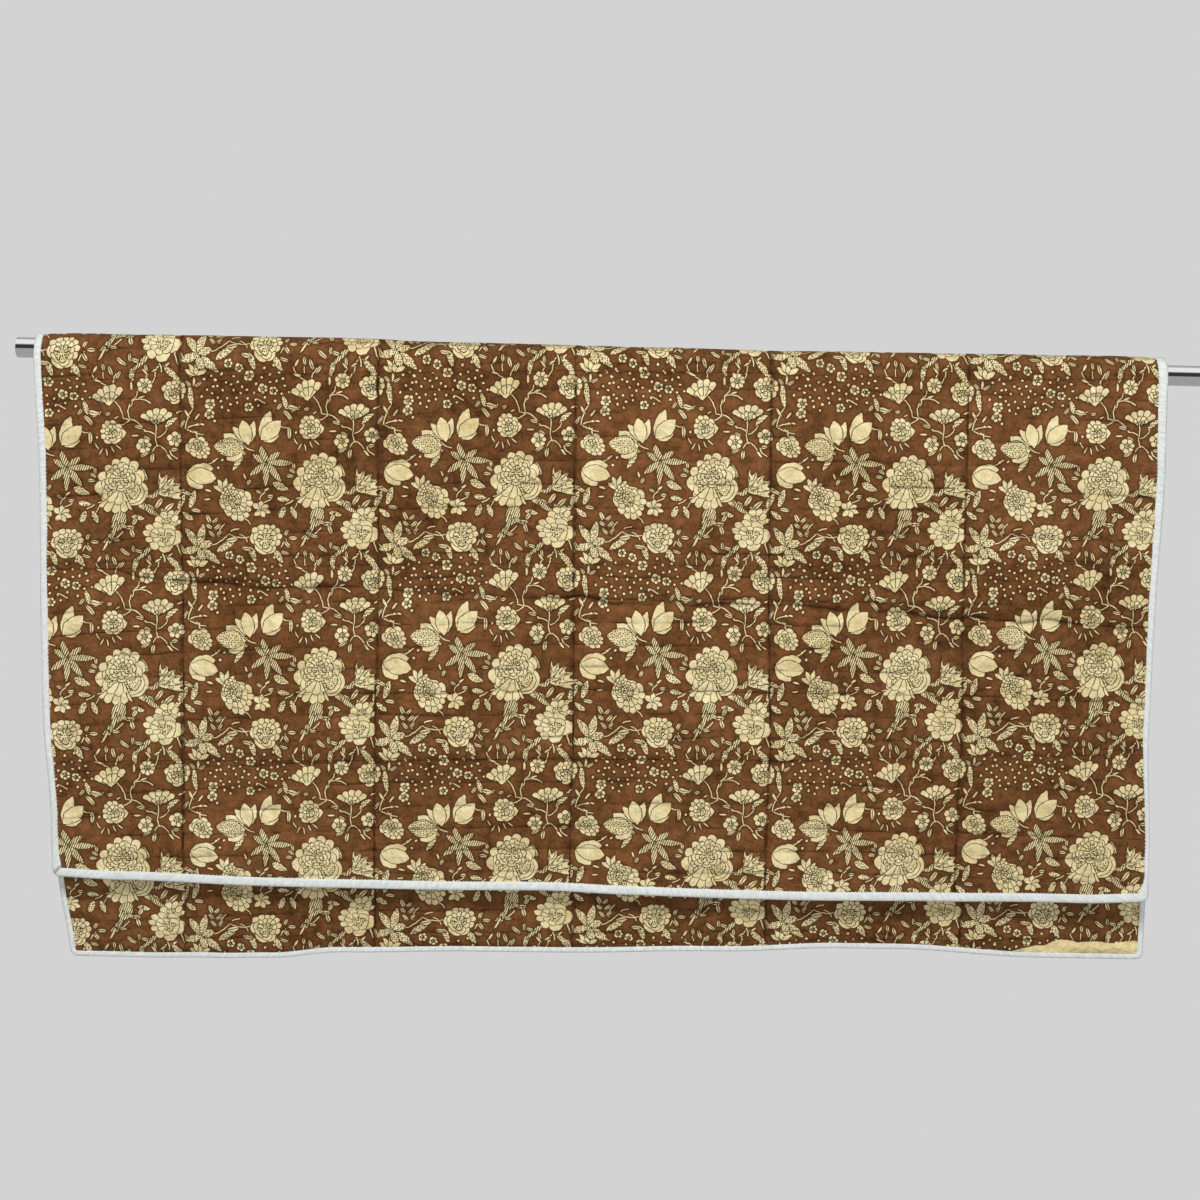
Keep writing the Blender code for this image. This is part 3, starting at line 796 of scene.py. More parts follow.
def printed_place():
    """Node group: the place in the block in millimetres, wandering a little as hand stamping does."""
    group = new_group("printed_place", (), ("P",))
    stamp = add(group, "UVMap", uv_map="print")
    noise = {"Vector": stamp, "Scale": 1.0 / WOBBLE_SIZE, "Detail": WOBBLE_DETAIL}
    noise = add(group, "TexNoise", noise, noise_dimensions="2D").outputs["Color"]
    swing = (2 * WOBBLE, 2 * WOBBLE, 0.0)
    moved = add(group, "VectorMath", (noise, swing, stamp), operation="MULTIPLY_ADD")
    place = add(group, "VectorMath", (moved, (-WOBBLE, -WOBBLE, 1.0)), operation="ADD")
    add(group, "NodeGroupOutput", (place,))
    return group


# Dyes, deep and light: brown ground, straw, and unprinted cloth.
GROUND = (linear("#331D0C"), linear("#8C5D37"))
STRAW = (linear("#BCA66F"), linear("#F3E6B9"))
BARE = (linear("#C4AC70"), linear("#FAEABB"))
INK = linear("#2C200B")
# Brown of the overlapping joints, which also paints shade into the valleys.
JOINT_AND_SHADE_BROWN = linear("#35200C")
# How far the crinkles and grain lighten the colour, and what keeps their middle in place. On the
# crinkles this is painted light and shade: lighter where they rise, darker in their hollows.
CRINKLE_LIGHT_AND_SHADE = 0.8
GRAIN_TONE = 0.6
TONE_SHIFT = -0.72
# Bump of the cloth in millimetres, the half widths of its valleys, and how much painted shade
# darkens the colour in them.
VALLEY_DEPTH = 2.3
VALLEY_HALF = 1.6
FOLD_HALF = 2.2
FOLD_SHARE = 1.9
PUCKER_DEPTH = 2.4
CRINKLE_DEPTH = 4.4
WEAVE_DEPTH = 0.08
PAINTED_VALLEY_SHADE = 0.26
# Noise from and to, then the share of the pull it gives.
PULL_SHARE = (0.38, 0.66, 0.08, 1.0)
HOLD_SHARE = (0.34, 0.56, 0.25, 1.0)
JOINT_PATCHES = (0.35, 0.62, 0.35, 1.0)
# Soft edges of colour in millimetres: full up to the first place, gone past the second.
DYE_AND_SHADE_HALO_EDGE = (0.0, 3.2)
# How dark the ring round the straw shapes gets: partly dye that spread, partly painted shade.
DYE_AND_SHADE_HALO_SHARE = 0.55
SHAPE_EDGE = (-0.40, -0.10)
LINE_EDGE = (0.34, 0.64)
JOINT_EDGE = (0.7, 2.3)
ROW_JOINT_IN = 1.0
PRINT_EDGE = (0.5, -0.5)
# Puckers to the metre across and along the quilt, then the size of each kind of mark in metres.
PUCKERS_TO_METRE = (130.0, 60.0, 0.0)
PULL_SIZE = 0.060
HOLD_SIZE = 0.090
CRINKLE_SIZE = 0.014
WEAVE_SIZE = 0.0016
GRAIN_SIZE = 0.0030


def random_marks(group, rows, across, count):
    """Noise of the pull of rows, the hold of creases, puckers, crinkles, weave and grain."""
    nearest = add(group, "Math", (count,), operation="ROUND")
    sewn = add(group, "CombineXYZ", (across, nearest))
    stretched = add(group, "VectorMath", (rows, PUCKERS_TO_METRE), operation="MULTIPLY")
    # Where, how large, and how finely broken.
    marks = (
        (sewn, PULL_SIZE, 2.0),
        (rows, HOLD_SIZE, 2.0),
        (stretched, 1.0, 2.0),
        (rows, CRINKLE_SIZE, 3.0),
        (rows, WEAVE_SIZE, 1.0),
        (rows, GRAIN_SIZE, 3.0),
    )
    noises = []
    for place, size, detail in marks:
        values = {"Vector": place, "Scale": 1.0 / size, "Detail": detail}
        noises.append(add(group, "TexNoise", values, noise_dimensions="2D"))
    return noises


def valleys(group, count, past_crease, pull, hold):
    """Depth of the valleys at the nearest sewn row and at the main crease."""
    away = add(group, "Math", (count, 0.5), operation="PINGPONG")
    away = add(group, "Math", (away, 1000 * ROW_SPACING), operation="MULTIPLY")
    past = add(group, "Math", (past_crease,), operation="ABSOLUTE")
    found = []
    sides = ((away, VALLEY_HALF, pull, PULL_SHARE), (past, FOLD_HALF, hold, HOLD_SHARE))
    for far, half, strength, limits in sides:
        strength = add(group, "MapRange", (strength, *limits))
        near = add(group, "Math", (far, -1.0 / half), operation="MULTIPLY")
        near = add(group, "Math", (near,), operation="EXPONENT")
        found.append(add(group, "Math", (near, strength), operation="MULTIPLY"))
    return add(group, "Math", (found[1], FOLD_SHARE, found[0]), operation="MULTIPLY_ADD")


def block_joint(group, block_place):
    """Millimetres from the nearest joint between blocks. Row joints overlap less than column joints."""
    x, y, _ = add(group, "SeparateXYZ", (block_place,)).outputs
    joint_x = add(group, "Math", (x, BLOCK_WIDE / 2), operation="PINGPONG")
    joint_y = add(group, "Math", (y, BLOCK_TALL / 2), operation="PINGPONG")
    joint_y = add(group, "Math", (joint_y, ROW_JOINT_IN), operation="ADD")
    return add(group, "Math", (joint_x, joint_y), operation="MINIMUM")


def dyes(group, tone, crinkle, grain):
    """Mottled brown ground, straw and bare cloth, with painted light where the crinkles rise and painted
    shade in their hollows. The grain is slubs that took less dye.
    """
    # Painted light and shade: the colour follows the crinkles of the bump, lighter where they rise.
    mottle_and_crinkle_light = add(group, "Math", (crinkle, CRINKLE_LIGHT_AND_SHADE, tone), operation="MULTIPLY_ADD")
    mottle_and_crinkle_light = add(group, "Math", (grain, GRAIN_TONE, mottle_and_crinkle_light), operation="MULTIPLY_ADD")
    mottle_and_crinkle_light = add(group, "Math", (mottle_and_crinkle_light, TONE_SHIFT), operation="ADD", use_clamp=True)
    return [
        add(group, "Mix", {0: mottle_and_crinkle_light, 6: deep, 7: light}, data_type="RGBA")
        for deep, light in (GROUND, STRAW, BARE)
    ]


def printed_finish():
    """Node group: matt cotton cambric, block printed, washed soft and hand quilted in rows.

    The rows, puckers and crinkles are bump. The colour holds painted shade in the valleys of the rows
    and the crease, and painted light and shade on the crinkles. The weave is drawn at 1.6 mm, coarser
    than the real cambric, because the true 0.3 mm threads are too fine to see.
    """
    group = new_group("printed_cotton_finish", ("P", "fill", "ink"), ("Color", "Normal"))
    block_place, fill, ink = add(group, "NodeGroupInput").outputs[:3]
    rows = add(group, "UVMap", uv_map="rows")
    shade = add(group, "Attribute", attribute_name="shade").outputs["Vector"]
    tone, bare_by, past_crease = add(group, "SeparateXYZ", (shade,)).outputs
    across, along, _ = add(group, "SeparateXYZ", (rows,)).outputs
    count = add(group, "Math", (along, ROW_SPACING), operation="DIVIDE")
    pull, hold, pucker, crinkle, weave, grain = random_marks(group, rows, across, count)
    valley = valleys(group, count, past_crease, pull, hold)
    height = add(group, "Math", (valley, -VALLEY_DEPTH), operation="MULTIPLY")
    for marked, depth in ((pucker, PUCKER_DEPTH), (crinkle, CRINKLE_DEPTH), (weave, WEAVE_DEPTH)):
        height = add(group, "Math", (marked, depth, height), operation="MULTIPLY_ADD")
    bump = add(group, "Bump", {"Strength": 1.0, "Distance": 0.001, "Height": height})

    edges = (
        (fill, DYE_AND_SHADE_HALO_EDGE),
        (fill, SHAPE_EDGE),
        (ink, LINE_EDGE),
        (block_joint(group, block_place), JOINT_EDGE),
        (bare_by, PRINT_EDGE),
    )
    dye_and_shade_halo, shape, line, joint, unprinted = (
        add(group, "MapRange", (value, *edge, 1.0, 0.0), interpolation_type="SMOOTHSTEP")
        for value, edge in edges
    )
    # Painted shade beside the straw shapes, together with dye that spread round them.
    dye_and_shade_halo = add(group, "Math", (dye_and_shade_halo, DYE_AND_SHADE_HALO_SHARE), operation="MULTIPLY")
    patchy = add(group, "MapRange", (pucker, *JOINT_PATCHES))
    joint = add(group, "Math", (joint, patchy), operation="MULTIPLY")
    # Painted shade: the colour darkens in the valleys of the sewn rows and the crease.
    valley_shade_share = add(group, "Math", (valley, PAINTED_VALLEY_SHADE), operation="MULTIPLY", use_clamp=True)
    colour, straw, bare = dyes(group, tone, crinkle, grain)
    # Dye gathered round the straw shapes with painted shade beside them, the shapes, dark lines, darker
    # joints, the unprinted hem and painted shade in the valleys of the rows and the crease.
    layers = (
        (dye_and_shade_halo, GROUND[0]),
        (shape, straw),
        (line, INK),
        (joint, JOINT_AND_SHADE_BROWN),
        (unprinted, bare),
        (valley_shade_share, JOINT_AND_SHADE_BROWN),
    )
    for share, layer in layers:
        colour = add(group, "Mix", {0: share, 6: colour, 7: layer}, data_type="RGBA")
    add(group, "NodeGroupOutput", (colour, bump))
    return group


def matt_cotton(tree, colour, bump, roughness):
    """Gives a tree matt cotton with this colour and relief, and ends it."""
    look = {"Base Color": colour, "Roughness": roughness, "Specular IOR Level": 0.25, "Normal": bump}
    cotton = add(tree, "BsdfPrincipled", look)
    add(tree, "OutputMaterial", (cotton,))


def outside(place, number, size):
    """How far a place lies outside a numbered patch, along one direction."""
    return max(number * size - place, place - (number + 1) * size, 0.0)


def printed_materials():
    """One material for each patch of the block, which holds only the motifs that reach it."""
    shapes = {
        "stem": (make_group("printed_stem", STEM), stem_inputs),
        "blade": (make_group("printed_leaf", BLADE), blade_inputs),
        "dot": (make_group("printed_bud", DOT), bud_inputs),
        "flower2": (make_group("printed_blossom", flower_steps(2)), flower_inputs),
        "flower3": (make_group("printed_flower", flower_steps(3)), flower_inputs),
    }
    place_group, finish_group = printed_place(), printed_finish()
    # The block repeats, so motifs of the eight blocks round it reach in.
    shifts = [(x, y) for x in (-BLOCK_WIDE, 0.0, BLOCK_WIDE) for y in (-BLOCK_TALL, 0.0, BLOCK_TALL)]
    motifs = [(m[0], m[1] + x, m[2] + y, *m[3:]) for m in all_motifs() for x, y in shifts]
    materials = []
    for down in range(PATCHES):
        for over in range(PATCHES):
            material, tree = new_material(f"hand_printed_cotton_{down + 1}_{over + 1}")
            place = add(tree, "Group", node_tree=place_group)
            marks = {}
            fill, ink = NOTHING, NOTHING
            for shape, x, y, reach, row, mark in motifs:
                far = hypot(outside(x, over, PATCH_WIDE), outside(y, down, PATCH_TALL))
                if far > reach + PATCH_MARGIN:
                    continue
                shape_group, inputs_for = shapes[shape]
                inputs = {"P": place, "Fill": fill, "Ink": ink, **inputs_for(x, y, *row)}
                if shape not in ("dot", "stem"):
                    inputs["Mark"] = mark_for(tree, place, mark, marks)
                fill, ink = add(tree, "Group", inputs, node_tree=shape_group).outputs
            finish = add(tree, "Group", (place, fill, ink), node_tree=finish_group)
            matt_cotton(tree, *finish.outputs, roughness=0.88)
            materials.append(material)
    return materials


def mark_for(tree, place, mark, marks):
    """Hatching or stipple inside a motif, made once in each patch that needs it."""
    if mark not in ("hatch", "dots"):
        return NOTHING
    if mark not in marks and mark == "hatch":
        turns = pi / HATCH_PITCH
        way = (HATCH_WAY[0] * turns, HATCH_WAY[1] * turns, 0.0)
        swing = add(tree, "VectorMath", (place, way), operation="DOT_PRODUCT")
        for operation in ("SINE", "ABSOLUTE"):
            swing = add(tree, "Math", (swing,), operation=operation)
        marks[mark] = add(tree, "Math", (swing, 1.0 / turns), operation="MULTIPLY")
    elif mark not in marks:
        cells = {"Vector": place, "Scale": 1.0 / STIPPLE_PITCH, "Randomness": STIPPLE_SCATTER}
        far = add(tree, "TexVoronoi", cells, voronoi_dimensions="2D")
        marks[mark] = add(tree, "Math", (far, STIPPLE_PITCH, -STIPPLE_HALF), operation="MULTIPLY_ADD")
    return marks[mark]


# ---- the quilt's cloth
def rounded(across, along):
    """Draws the square corners of the flat quilt in to round ones."""
    length = flap_length(across, along < 0)
    in_x = np.maximum(CORNER - np.minimum(across, QUILT_WIDTH - across), 0.0)
    in_y = np.maximum(CORNER - (length - np.abs(along)), 0.0)
    far = np.maximum(np.hypot(in_x, in_y), NORMAL_STEP)
    pull = np.where((in_x > 0) & (in_y > 0), 1.0 - np.maximum(in_x, in_y) / far, 0.0)
    new_across = across + np.where(across < QUILT_WIDTH / 2, 1.0, -1.0) * in_x * pull
    return new_across, along - np.sign(along) * in_y * pull


CELLS_ACROSS = 264
CELLS_FRONT = 176
CELLS_BACK = 108


def cloth_grid(every):
    """Places (across, along) of the body's vertices, taking one grid line in every few."""
    across = np.linspace(BODY_INSET, QUILT_WIDTH - BODY_INSET, CELLS_ACROSS + 1)[::every]
    front = np.linspace(-1.0, 0.0, CELLS_FRONT + 1)
    back = np.linspace(0.0, 1.0, CELLS_BACK + 1)
    share = np.concatenate([front, back[1:]])[::every]
    across, share = np.meshgrid(across, share, indexing="ij")
    length = flap_length(across, share < 0) - BODY_INSET
    return rounded(across, share * length)


def quads(ids):
    """Faces over a grid of vertex numbers, facing away from the rod when the grid is the outer face."""
    return np.stack([ids[:-1, :-1], ids[1:, :-1], ids[1:, 1:], ids[:-1, 1:]], -1).reshape(-1, 4)


def border(ids):
    """The grid's outside vertices, once round."""
    return np.concatenate([ids[:-1, 0], ids[-1, :-1], ids[:0:-1, -1], ids[0, :0:-1]])


# Every block is stamped afresh. Tables of stamped blocks hold both faces, and their columns and
# rows start this many before the first joint.
STAMPED_BLOCKS = (2, 16, 24)
COLUMNS_BEFORE = 2
ROWS_BEFORE = 12


def stamped(table, side, over, down):
    """Reads a table of stamped blocks at block counts across and down."""
    return table[side, np.floor(over).astype(int) + COLUMNS_BEFORE, np.floor(down).astype(int) + ROWS_BEFORE]


# Depth of dye: its middle, how much a block differs, and random fields over the cloth.
TONE = 0.50
BLOCK_TONE = 0.07
TONE_SEED = 31
CLOTH_TONE = ((0.10, 0.0, 0.060, 0.045, 41), (0.08, 0.0, 0.021, 0.018, 42))
# Two stampings overlap at a joint: how much darker, and half the width in millimetres.
COLUMN_DARK = 0.13
COLUMN_BAND = 5.0
ROW_DARK = 0.08
ROW_BAND = 8.0
# The print's end on the reverse: millimetres it wanders, and its scallops in metres and millimetres.
END_WANDER = ((2.0, 0.0, 0.016, 0.018, 43),)
SCALLOP_WIDE = 0.045
SCALLOP_RISE = 4.5


def cloth_shade(across, along, over, down, side):
    """Depth of colour, millimetres past the end of the print, and millimetres past the crease."""
    each_block = np.random.default_rng(TONE_SEED).uniform(-1.0, 1.0, STAMPED_BLOCKS)
    tone = TONE + BLOCK_TONE * stamped(each_block, side, over, down)
    tone = uneven(CLOTH_TONE, across, along, tone)
    tone = tone - COLUMN_DARK * hump(np.abs(over - np.round(over)) * BLOCK_WIDE, COLUMN_BAND)
    tone = tone - ROW_DARK * hump(np.abs(down - np.round(down)) * BLOCK_TALL, ROW_BAND)
    drop = along - ARCH_OFFSET - table_at(FOLD_LIFT, across)
    past = uneven(END_WANDER, across, along, 1000 * (drop - line_at(UNPRINTED, across)))
    past = past + SCALLOP_RISE * (np.abs(np.sin(pi * across / SCALLOP_WIDE)) - 0.5)
    past = np.where(side == 1, past, -NOTHING)
    creased = np.where((side == 0) & (along < 0), 1000 * to_crease(across, along), NOTHING)
    return np.stack([tone, past, creased], -1)


# How far each block is set down off its place in millimetres across and down, and its turn.
BLOCK_SLIP = (1.0, 1.0, 0.006)
SLIP_SEED = 32


def print_places(over, down, starts, sizes, corners, side):
    """Millimetres in the block for each face corner, and each face's patch. A face is in one block."""
    middle_over, middle_down = (np.add.reduceat(count[corners], starts) / sizes for count in (over, down))
    slip = np.random.default_rng(SLIP_SEED).uniform(-1.0, 1.0, (*STAMPED_BLOCKS, 3)) * BLOCK_SLIP
    slip = stamped(slip, side, middle_over, middle_down)

    def in_block(columns, rows, face):
        """A place in each face's block, from block counts."""
        x = (columns - np.floor(middle_over)[face]) * BLOCK_WIDE
        y = (rows - np.floor(middle_down)[face]) * BLOCK_TALL
        right, low, turn = slip[face].T
        return x + right - turn * (y - BLOCK_TALL / 2), y + low + turn * (x - BLOCK_WIDE / 2)

    places = in_block(over[corners], down[corners], np.repeat(np.arange(len(sizes)), sizes))
    middle_x, middle_y = in_block(middle_over, middle_down, slice(None))
    column = np.clip(np.floor(middle_x / PATCH_WIDE), 0, PATCHES - 1).astype(int)
    row = np.clip(np.floor(middle_y / PATCH_TALL), 0, PATCHES - 1).astype(int)
    return np.stack(places, -1), row * PATCHES + column


def new_mesh(name, points, faces, materials, smooth_faces=True):
    """A piece with this mesh and these materials."""
    mesh = bpy.data.meshes.new(name)
    mesh.from_pydata(points.tolist(), [], faces)
    for material in materials:
        mesh.materials.append(material)
    mesh.polygons.foreach_set("use_smooth", [smooth_faces] * len(mesh.polygons))
    piece = bpy.data.objects.new(name, mesh)
    bpy.context.collection.objects.link(piece)
    return piece


def joined(outer, inner):
    """Values over the outer and inner face as one list of each."""
    return (np.concatenate([a.ravel(), b.ravel()]) for a, b in zip(outer, inner))


def make_cloth(materials):
    """The quilt's two printed faces and the edge between them, as one closed skin."""
    outer, inner = cloth_grid(1), cloth_grid(2)
    outer_points = raised(*outer, bend(*outer) + half_thickness(*outer))
    inner_points = raised(*inner, bend(*inner) - half_thickness(*inner))
    points = np.concatenate([outer_points.reshape(-1, 3), inner_points.reshape(-1, 3)])
    ids = np.arange(outer[0].size).reshape(outer[0].shape)
    inner_ids = np.arange(inner[0].size).reshape(inner[0].shape) + ids.size
    rim, inner_rim = border(ids), border(inner_ids)
    # The inner face has half as many cells, so two edges of the outer rim meet one of the inner rim.
    edge = [rim[::2], rim[1::2], np.roll(rim, -2)[::2], np.roll(inner_rim, -1), inner_rim]
    parts = (quads(ids), quads(inner_ids)[:, ::-1], np.stack(edge, -1))
    cloth = new_mesh("quilt_cloth", points, [face for part in parts for face in part.tolist()], materials)

    across, along = joined(outer, inner)
    over, down = joined(outer_print(*outer), inner_print(*inner))
    side = np.repeat([0, 1], [ids.size, inner_ids.size])
    sizes = np.concatenate([np.full(*part.shape) for part in parts])
    starts = np.cumsum(sizes) - sizes
    corners = np.concatenate([part.ravel() for part in parts])
    places, patches = print_places(over, down, starts, sizes, corners, side[corners[starts]])
    rows = np.stack([across, row_phase(across, along) * ROW_SPACING], -1)[corners]
    mesh = cloth.data
    mesh.polygons.foreach_set("material_index", patches.astype(np.int32))
    for name, uv in (("print", places), ("rows", rows)):
        mesh.uv_layers.new(name=name).data.foreach_set("uv", uv.ravel())
    shade = mesh.attributes.new("shade", "FLOAT_VECTOR", "POINT")
    shade.data.foreach_set("vector", cloth_shade(across, along, over, down, side).ravel())
    mesh.update()
    return cloth


# ---- running stitches
# Pitch, length, half thickness and sink of a stitch, and how unevenly the stitches follow.
STITCH_PITCH = 0.0052
STITCH_LENGTH = 0.0030
STITCH_HALF = 0.00028
STITCH_SINK = 0.0001
STITCH_UNEVEN = 0.12
STITCH_SEED = 51
# More rows than the back flap holds.
MOST_ROWS = 30


def row_place(number, across, front):
    """Length from the fold at which a sewn row passes."""
    side = -1.0 if front else 1.0
    along = np.full_like(across, side * ROW_SPACING * number)
    for _ in range(6):
        along = along + side * (number - row_phase(across, along)) * ROW_SPACING
    return along


def stitch_mesh(name, middle, reach, normal, half, material):
    """Joined stitches: bars of diamond section, pointed at both ends, which dive into the cloth."""
    wide = np.cross(normal, reach)
    wide = wide / np.linalg.norm(wide, axis=-1, keepdims=True) * half
    thick = normal * half
    sides = [middle + way for way in (wide, thick, -wide, -thick)]
    points = np.stack([middle - reach - thick, *sides, middle + reach - thick], 1).reshape(-1, 3)
    one = [(0, 2, 1), (0, 3, 2), (0, 4, 3), (0, 1, 4), (5, 1, 2), (5, 2, 3), (5, 3, 4), (5, 4, 1)]
    faces = [[6 * k + i for i in face] for k in range(len(middle)) for face in one]
    return new_mesh(name, points, faces, [material], smooth_faces=False)


def make_stitches(material):
    """Every running stitch of the outer face, as one joined mesh of small faceted bars."""
    rng = np.random.default_rng(STITCH_SEED)
    count = int(QUILT_WIDTH / STITCH_PITCH)
    kept = []
    for front in (True, False):
        for number in range(0 if front else 1, MOST_ROWS):
            slip = rng.uniform(0, 1) + rng.uniform(-STITCH_UNEVEN, STITCH_UNEVEN, count)
            across = (np.arange(count) + slip) * STITCH_PITCH
            along = row_place(number, across, front)
            keep = (to_edge(across, along) > BINDING_WIDTH + STITCH_LENGTH) & ((along < 0) == front)
            kept.append((across[keep], along[keep]))
    across, along = (np.concatenate(values) for values in zip(*kept))
    middle = raised(across, along, bend(across, along) + half_thickness(across, along) - STITCH_SINK)
    ends = surface(across + STITCH_LENGTH / 2, along) - surface(across - STITCH_LENGTH / 2, along)
    normal = surface_normal(across, along)
    return stitch_mesh("quilting_stitches", middle, ends / 2, normal, STITCH_HALF, material)


# ---- the bound edge
BINDING_STEP = 0.0052
BINDING_ROLL = 0.0028
REVERSE_WIDTH = 0.0075
# Share of the strip's width that shows along each side, away from the hems.
LEFT_SHARE = 0.75
RIGHT_SHARE = 0.45
SHARE_REACH = 0.020
# The strip buckles between its stitches, and its sewn edge wanders.
STRIP_PUCKERS = ((1.0, 0.0, 0.0065, 0.020, 61), (0.8, 1.0, 0.019, 0.012, 62))
STRIP_SWELL = 0.16
STRIP_WANDER = ((0.0005, 0.0, 0.023, 1.0, 63),)
# Only the inner part of the strip wanders, and only along the quilt's sides.
LIP_START = 0.004
LIP_REACH = 0.008
SIDE_REACH = 0.013


def binding_section():
    """The folded strip's section: (inward from the edge, out along the normal), once round."""
    outside = [(1.0, 0.66), (0.965, 1.0), (0.71, 1.08), (0.42, 1.10), (0.18, 1.0), (0.06, 0.62)]
    profile = [(d * BINDING_WIDTH, n * BINDING_ROLL) for d, n in outside] + [(0.0, 0.0)]
    profile += [(d * REVERSE_WIDTH, -n * BINDING_ROLL) for d, n in outside[::-1]]
    inside = EDGE_HALF + GAP
    for sign, width in ((-1, REVERSE_WIDTH), (1, BINDING_WIDTH)):
        inner = [(width, inside), (width / 2, inside), (BINDING_OUTSIDE, 0.8 * inside)]
        profile += [(d, sign * n) for d, n in inner[::-sign]]
    return profile


FRONT_LENGTH = float(flap_length(0.5 * QUILT_WIDTH, True))
SIDE_LENGTH = FRONT_LENGTH + float(flap_length(0.5 * QUILT_WIDTH, False))


def shown_share(side, from_front, from_back):
    """How much of the strip's width shows on the outer face, which the sewer took up unevenly."""
    from_hem = smooth(np.minimum(from_front, from_back) / SHARE_REACH)
    right = RIGHT_SHARE + (1.0 - RIGHT_SHARE) * np.minimum(from_front / FRONT_LENGTH, 1.0)
    return 1.0 - from_hem * (1.0 - (right if side == "right" else LEFT_SHARE))


def binding_places(depth, out):
    """Places of the strip's section round the quilt's edge, from the front hem's left corner."""
    rings, lengths = [], []
    total = 0.0
    for name in ("front", "right", "back", "left"):
        reach = QUILT_WIDTH if name in ("front", "back") else SIDE_LENGTH
        count = int(round(reach / BINDING_STEP))
        for k in range(count):
            t = k / count if name in ("front", "right") else 1.0 - k / count
            if name in ("front", "back"):
                across = depth + t * (QUILT_WIDTH - 2 * depth)
                along = (flap_length(across, name == "front") - depth) * (-1 if name == "front" else 1)
            else:
                share = shown_share(name, t * reach, (1.0 - t) * reach)
                inset = np.where(out > 0, depth * share, depth)
                across = QUILT_WIDTH - inset if name == "right" else inset
                low = depth - flap_length(across, True)
                along = low + t * (flap_length(across, False) - depth - low)
            rings.append((across, along))
            lengths.append(total + k * BINDING_STEP)
        total += reach
    across, along = rounded(*np.array(rings).transpose(1, 0, 2))
    return across, along, np.array(lengths)[:, None] * np.ones_like(across)


def make_binding(material):
    """A strip folded over all four edges, rounded at the corners and pulled in by its stitches."""
    depth, out = np.array(binding_section()).T
    across, along, length = binding_places(depth, out)
    covers = np.abs(out) > 1.02 * (EDGE_HALF + GAP)
    swell = 1.0 + STRIP_SWELL * uneven(STRIP_PUCKERS, length, depth) * covers
    lip = smooth((depth - LIP_START) / LIP_REACH)
    inward = np.where(out != 0, uneven(STRIP_WANDER, length, 0.0) * lip, 0.0)
    at_side = np.minimum(across, QUILT_WIDTH - across) < SIDE_REACH
    across = across + np.where(across < QUILT_WIDTH / 2, inward, -inward) * at_side
    ids = np.arange(across.size).reshape(across.shape)
    after = np.roll(ids, -1, axis=0)
    faces = np.stack([ids, after, np.roll(after, -1, axis=1), np.roll(ids, -1, axis=1)], -1).reshape(-1, 4)
    points = raised(across, along, out * swell).reshape(-1, 3)
    piece = new_mesh("quilt_binding", points, faces.tolist(), [material])
    step = np.stack([length, np.broadcast_to(depth, across.shape)], -1)
    corner_uv = step.reshape(-1, 2)[faces.ravel()]
    piece.data.uv_layers.new(name="strip").data.foreach_set("uv", corner_uv.ravel())
    return piece


# Pitch, half thickness, reach past the binding's edge and slant of an overcasting stitch.
OVERCAST_PITCH = 0.0046
OVERCAST_HALF = 0.00034
OVERCAST_REACH = 0.0013
OVERCAST_SLANT = 0.0012


def make_overcasting(material):
    """Small slanting stitches that hold the binding's inner edge down on the outer face."""
    ends = []
    for side, long in (("front", QUILT_WIDTH), ("left", SIDE_LENGTH), ("right", SIDE_LENGTH)):
        run = np.arange(SHARE_REACH, long - SHARE_REACH, OVERCAST_PITCH)
        width = BINDING_WIDTH * (1.0 if side == "front" else shown_share(side, run, long - run))
        for half in (-1.0, 1.0):
            inset = width + half * OVERCAST_REACH
            slid = run + half * OVERCAST_SLANT / 2
            if side == "front":
                across, along = slid, inset - flap_length(slid, True)
            else:
                across = inset if side == "left" else QUILT_WIDTH - inset
                along = slid - flap_length(across, True)
            rise = BINDING_ROLL if half < 0 else half_thickness(across, along) + bend(across, along)
            ends.append(raised(across, along, rise))
    start, end = np.concatenate(ends[::2]), np.concatenate(ends[1::2])
    reach = (end - start) / 2
    outward = np.cross(np.cross(reach, (0.0, -1.0, 0.0)), reach)
    outward = outward / np.linalg.norm(outward, axis=-1, keepdims=True)
    middle = (start + end) / 2 + outward * OVERCAST_HALF
    return stitch_mesh("binding_stitches", middle, reach, outward, OVERCAST_HALF, material)


def face_outward(piece):
    """Turns all faces outwards."""
    bpy.ops.object.select_all(action="DESELECT")
    piece.select_set(True)
    bpy.context.view_layer.objects.active = piece
    bpy.ops.object.mode_set(mode="EDIT")
    bpy.ops.mesh.select_all(action="SELECT")
    bpy.ops.mesh.normals_make_consistent(inside=False)
    bpy.ops.object.mode_set(mode="OBJECT")


# Buckles to the metre along and across the strip, and the size of its weave in metres.
BUCKLES_TO_METRE = (260.0, 90.0, 0.0)
STRIP_WEAVE = 0.0013
# How much the weave tints the strip, and how much it rises beside the buckles. The buckles also
# paint shade into the strip's colour, darker in their hollows.
WEAVE_SHADE = 0.3
WEAVE_RISE = 0.10
PLIES_TO_METRE = 700.0


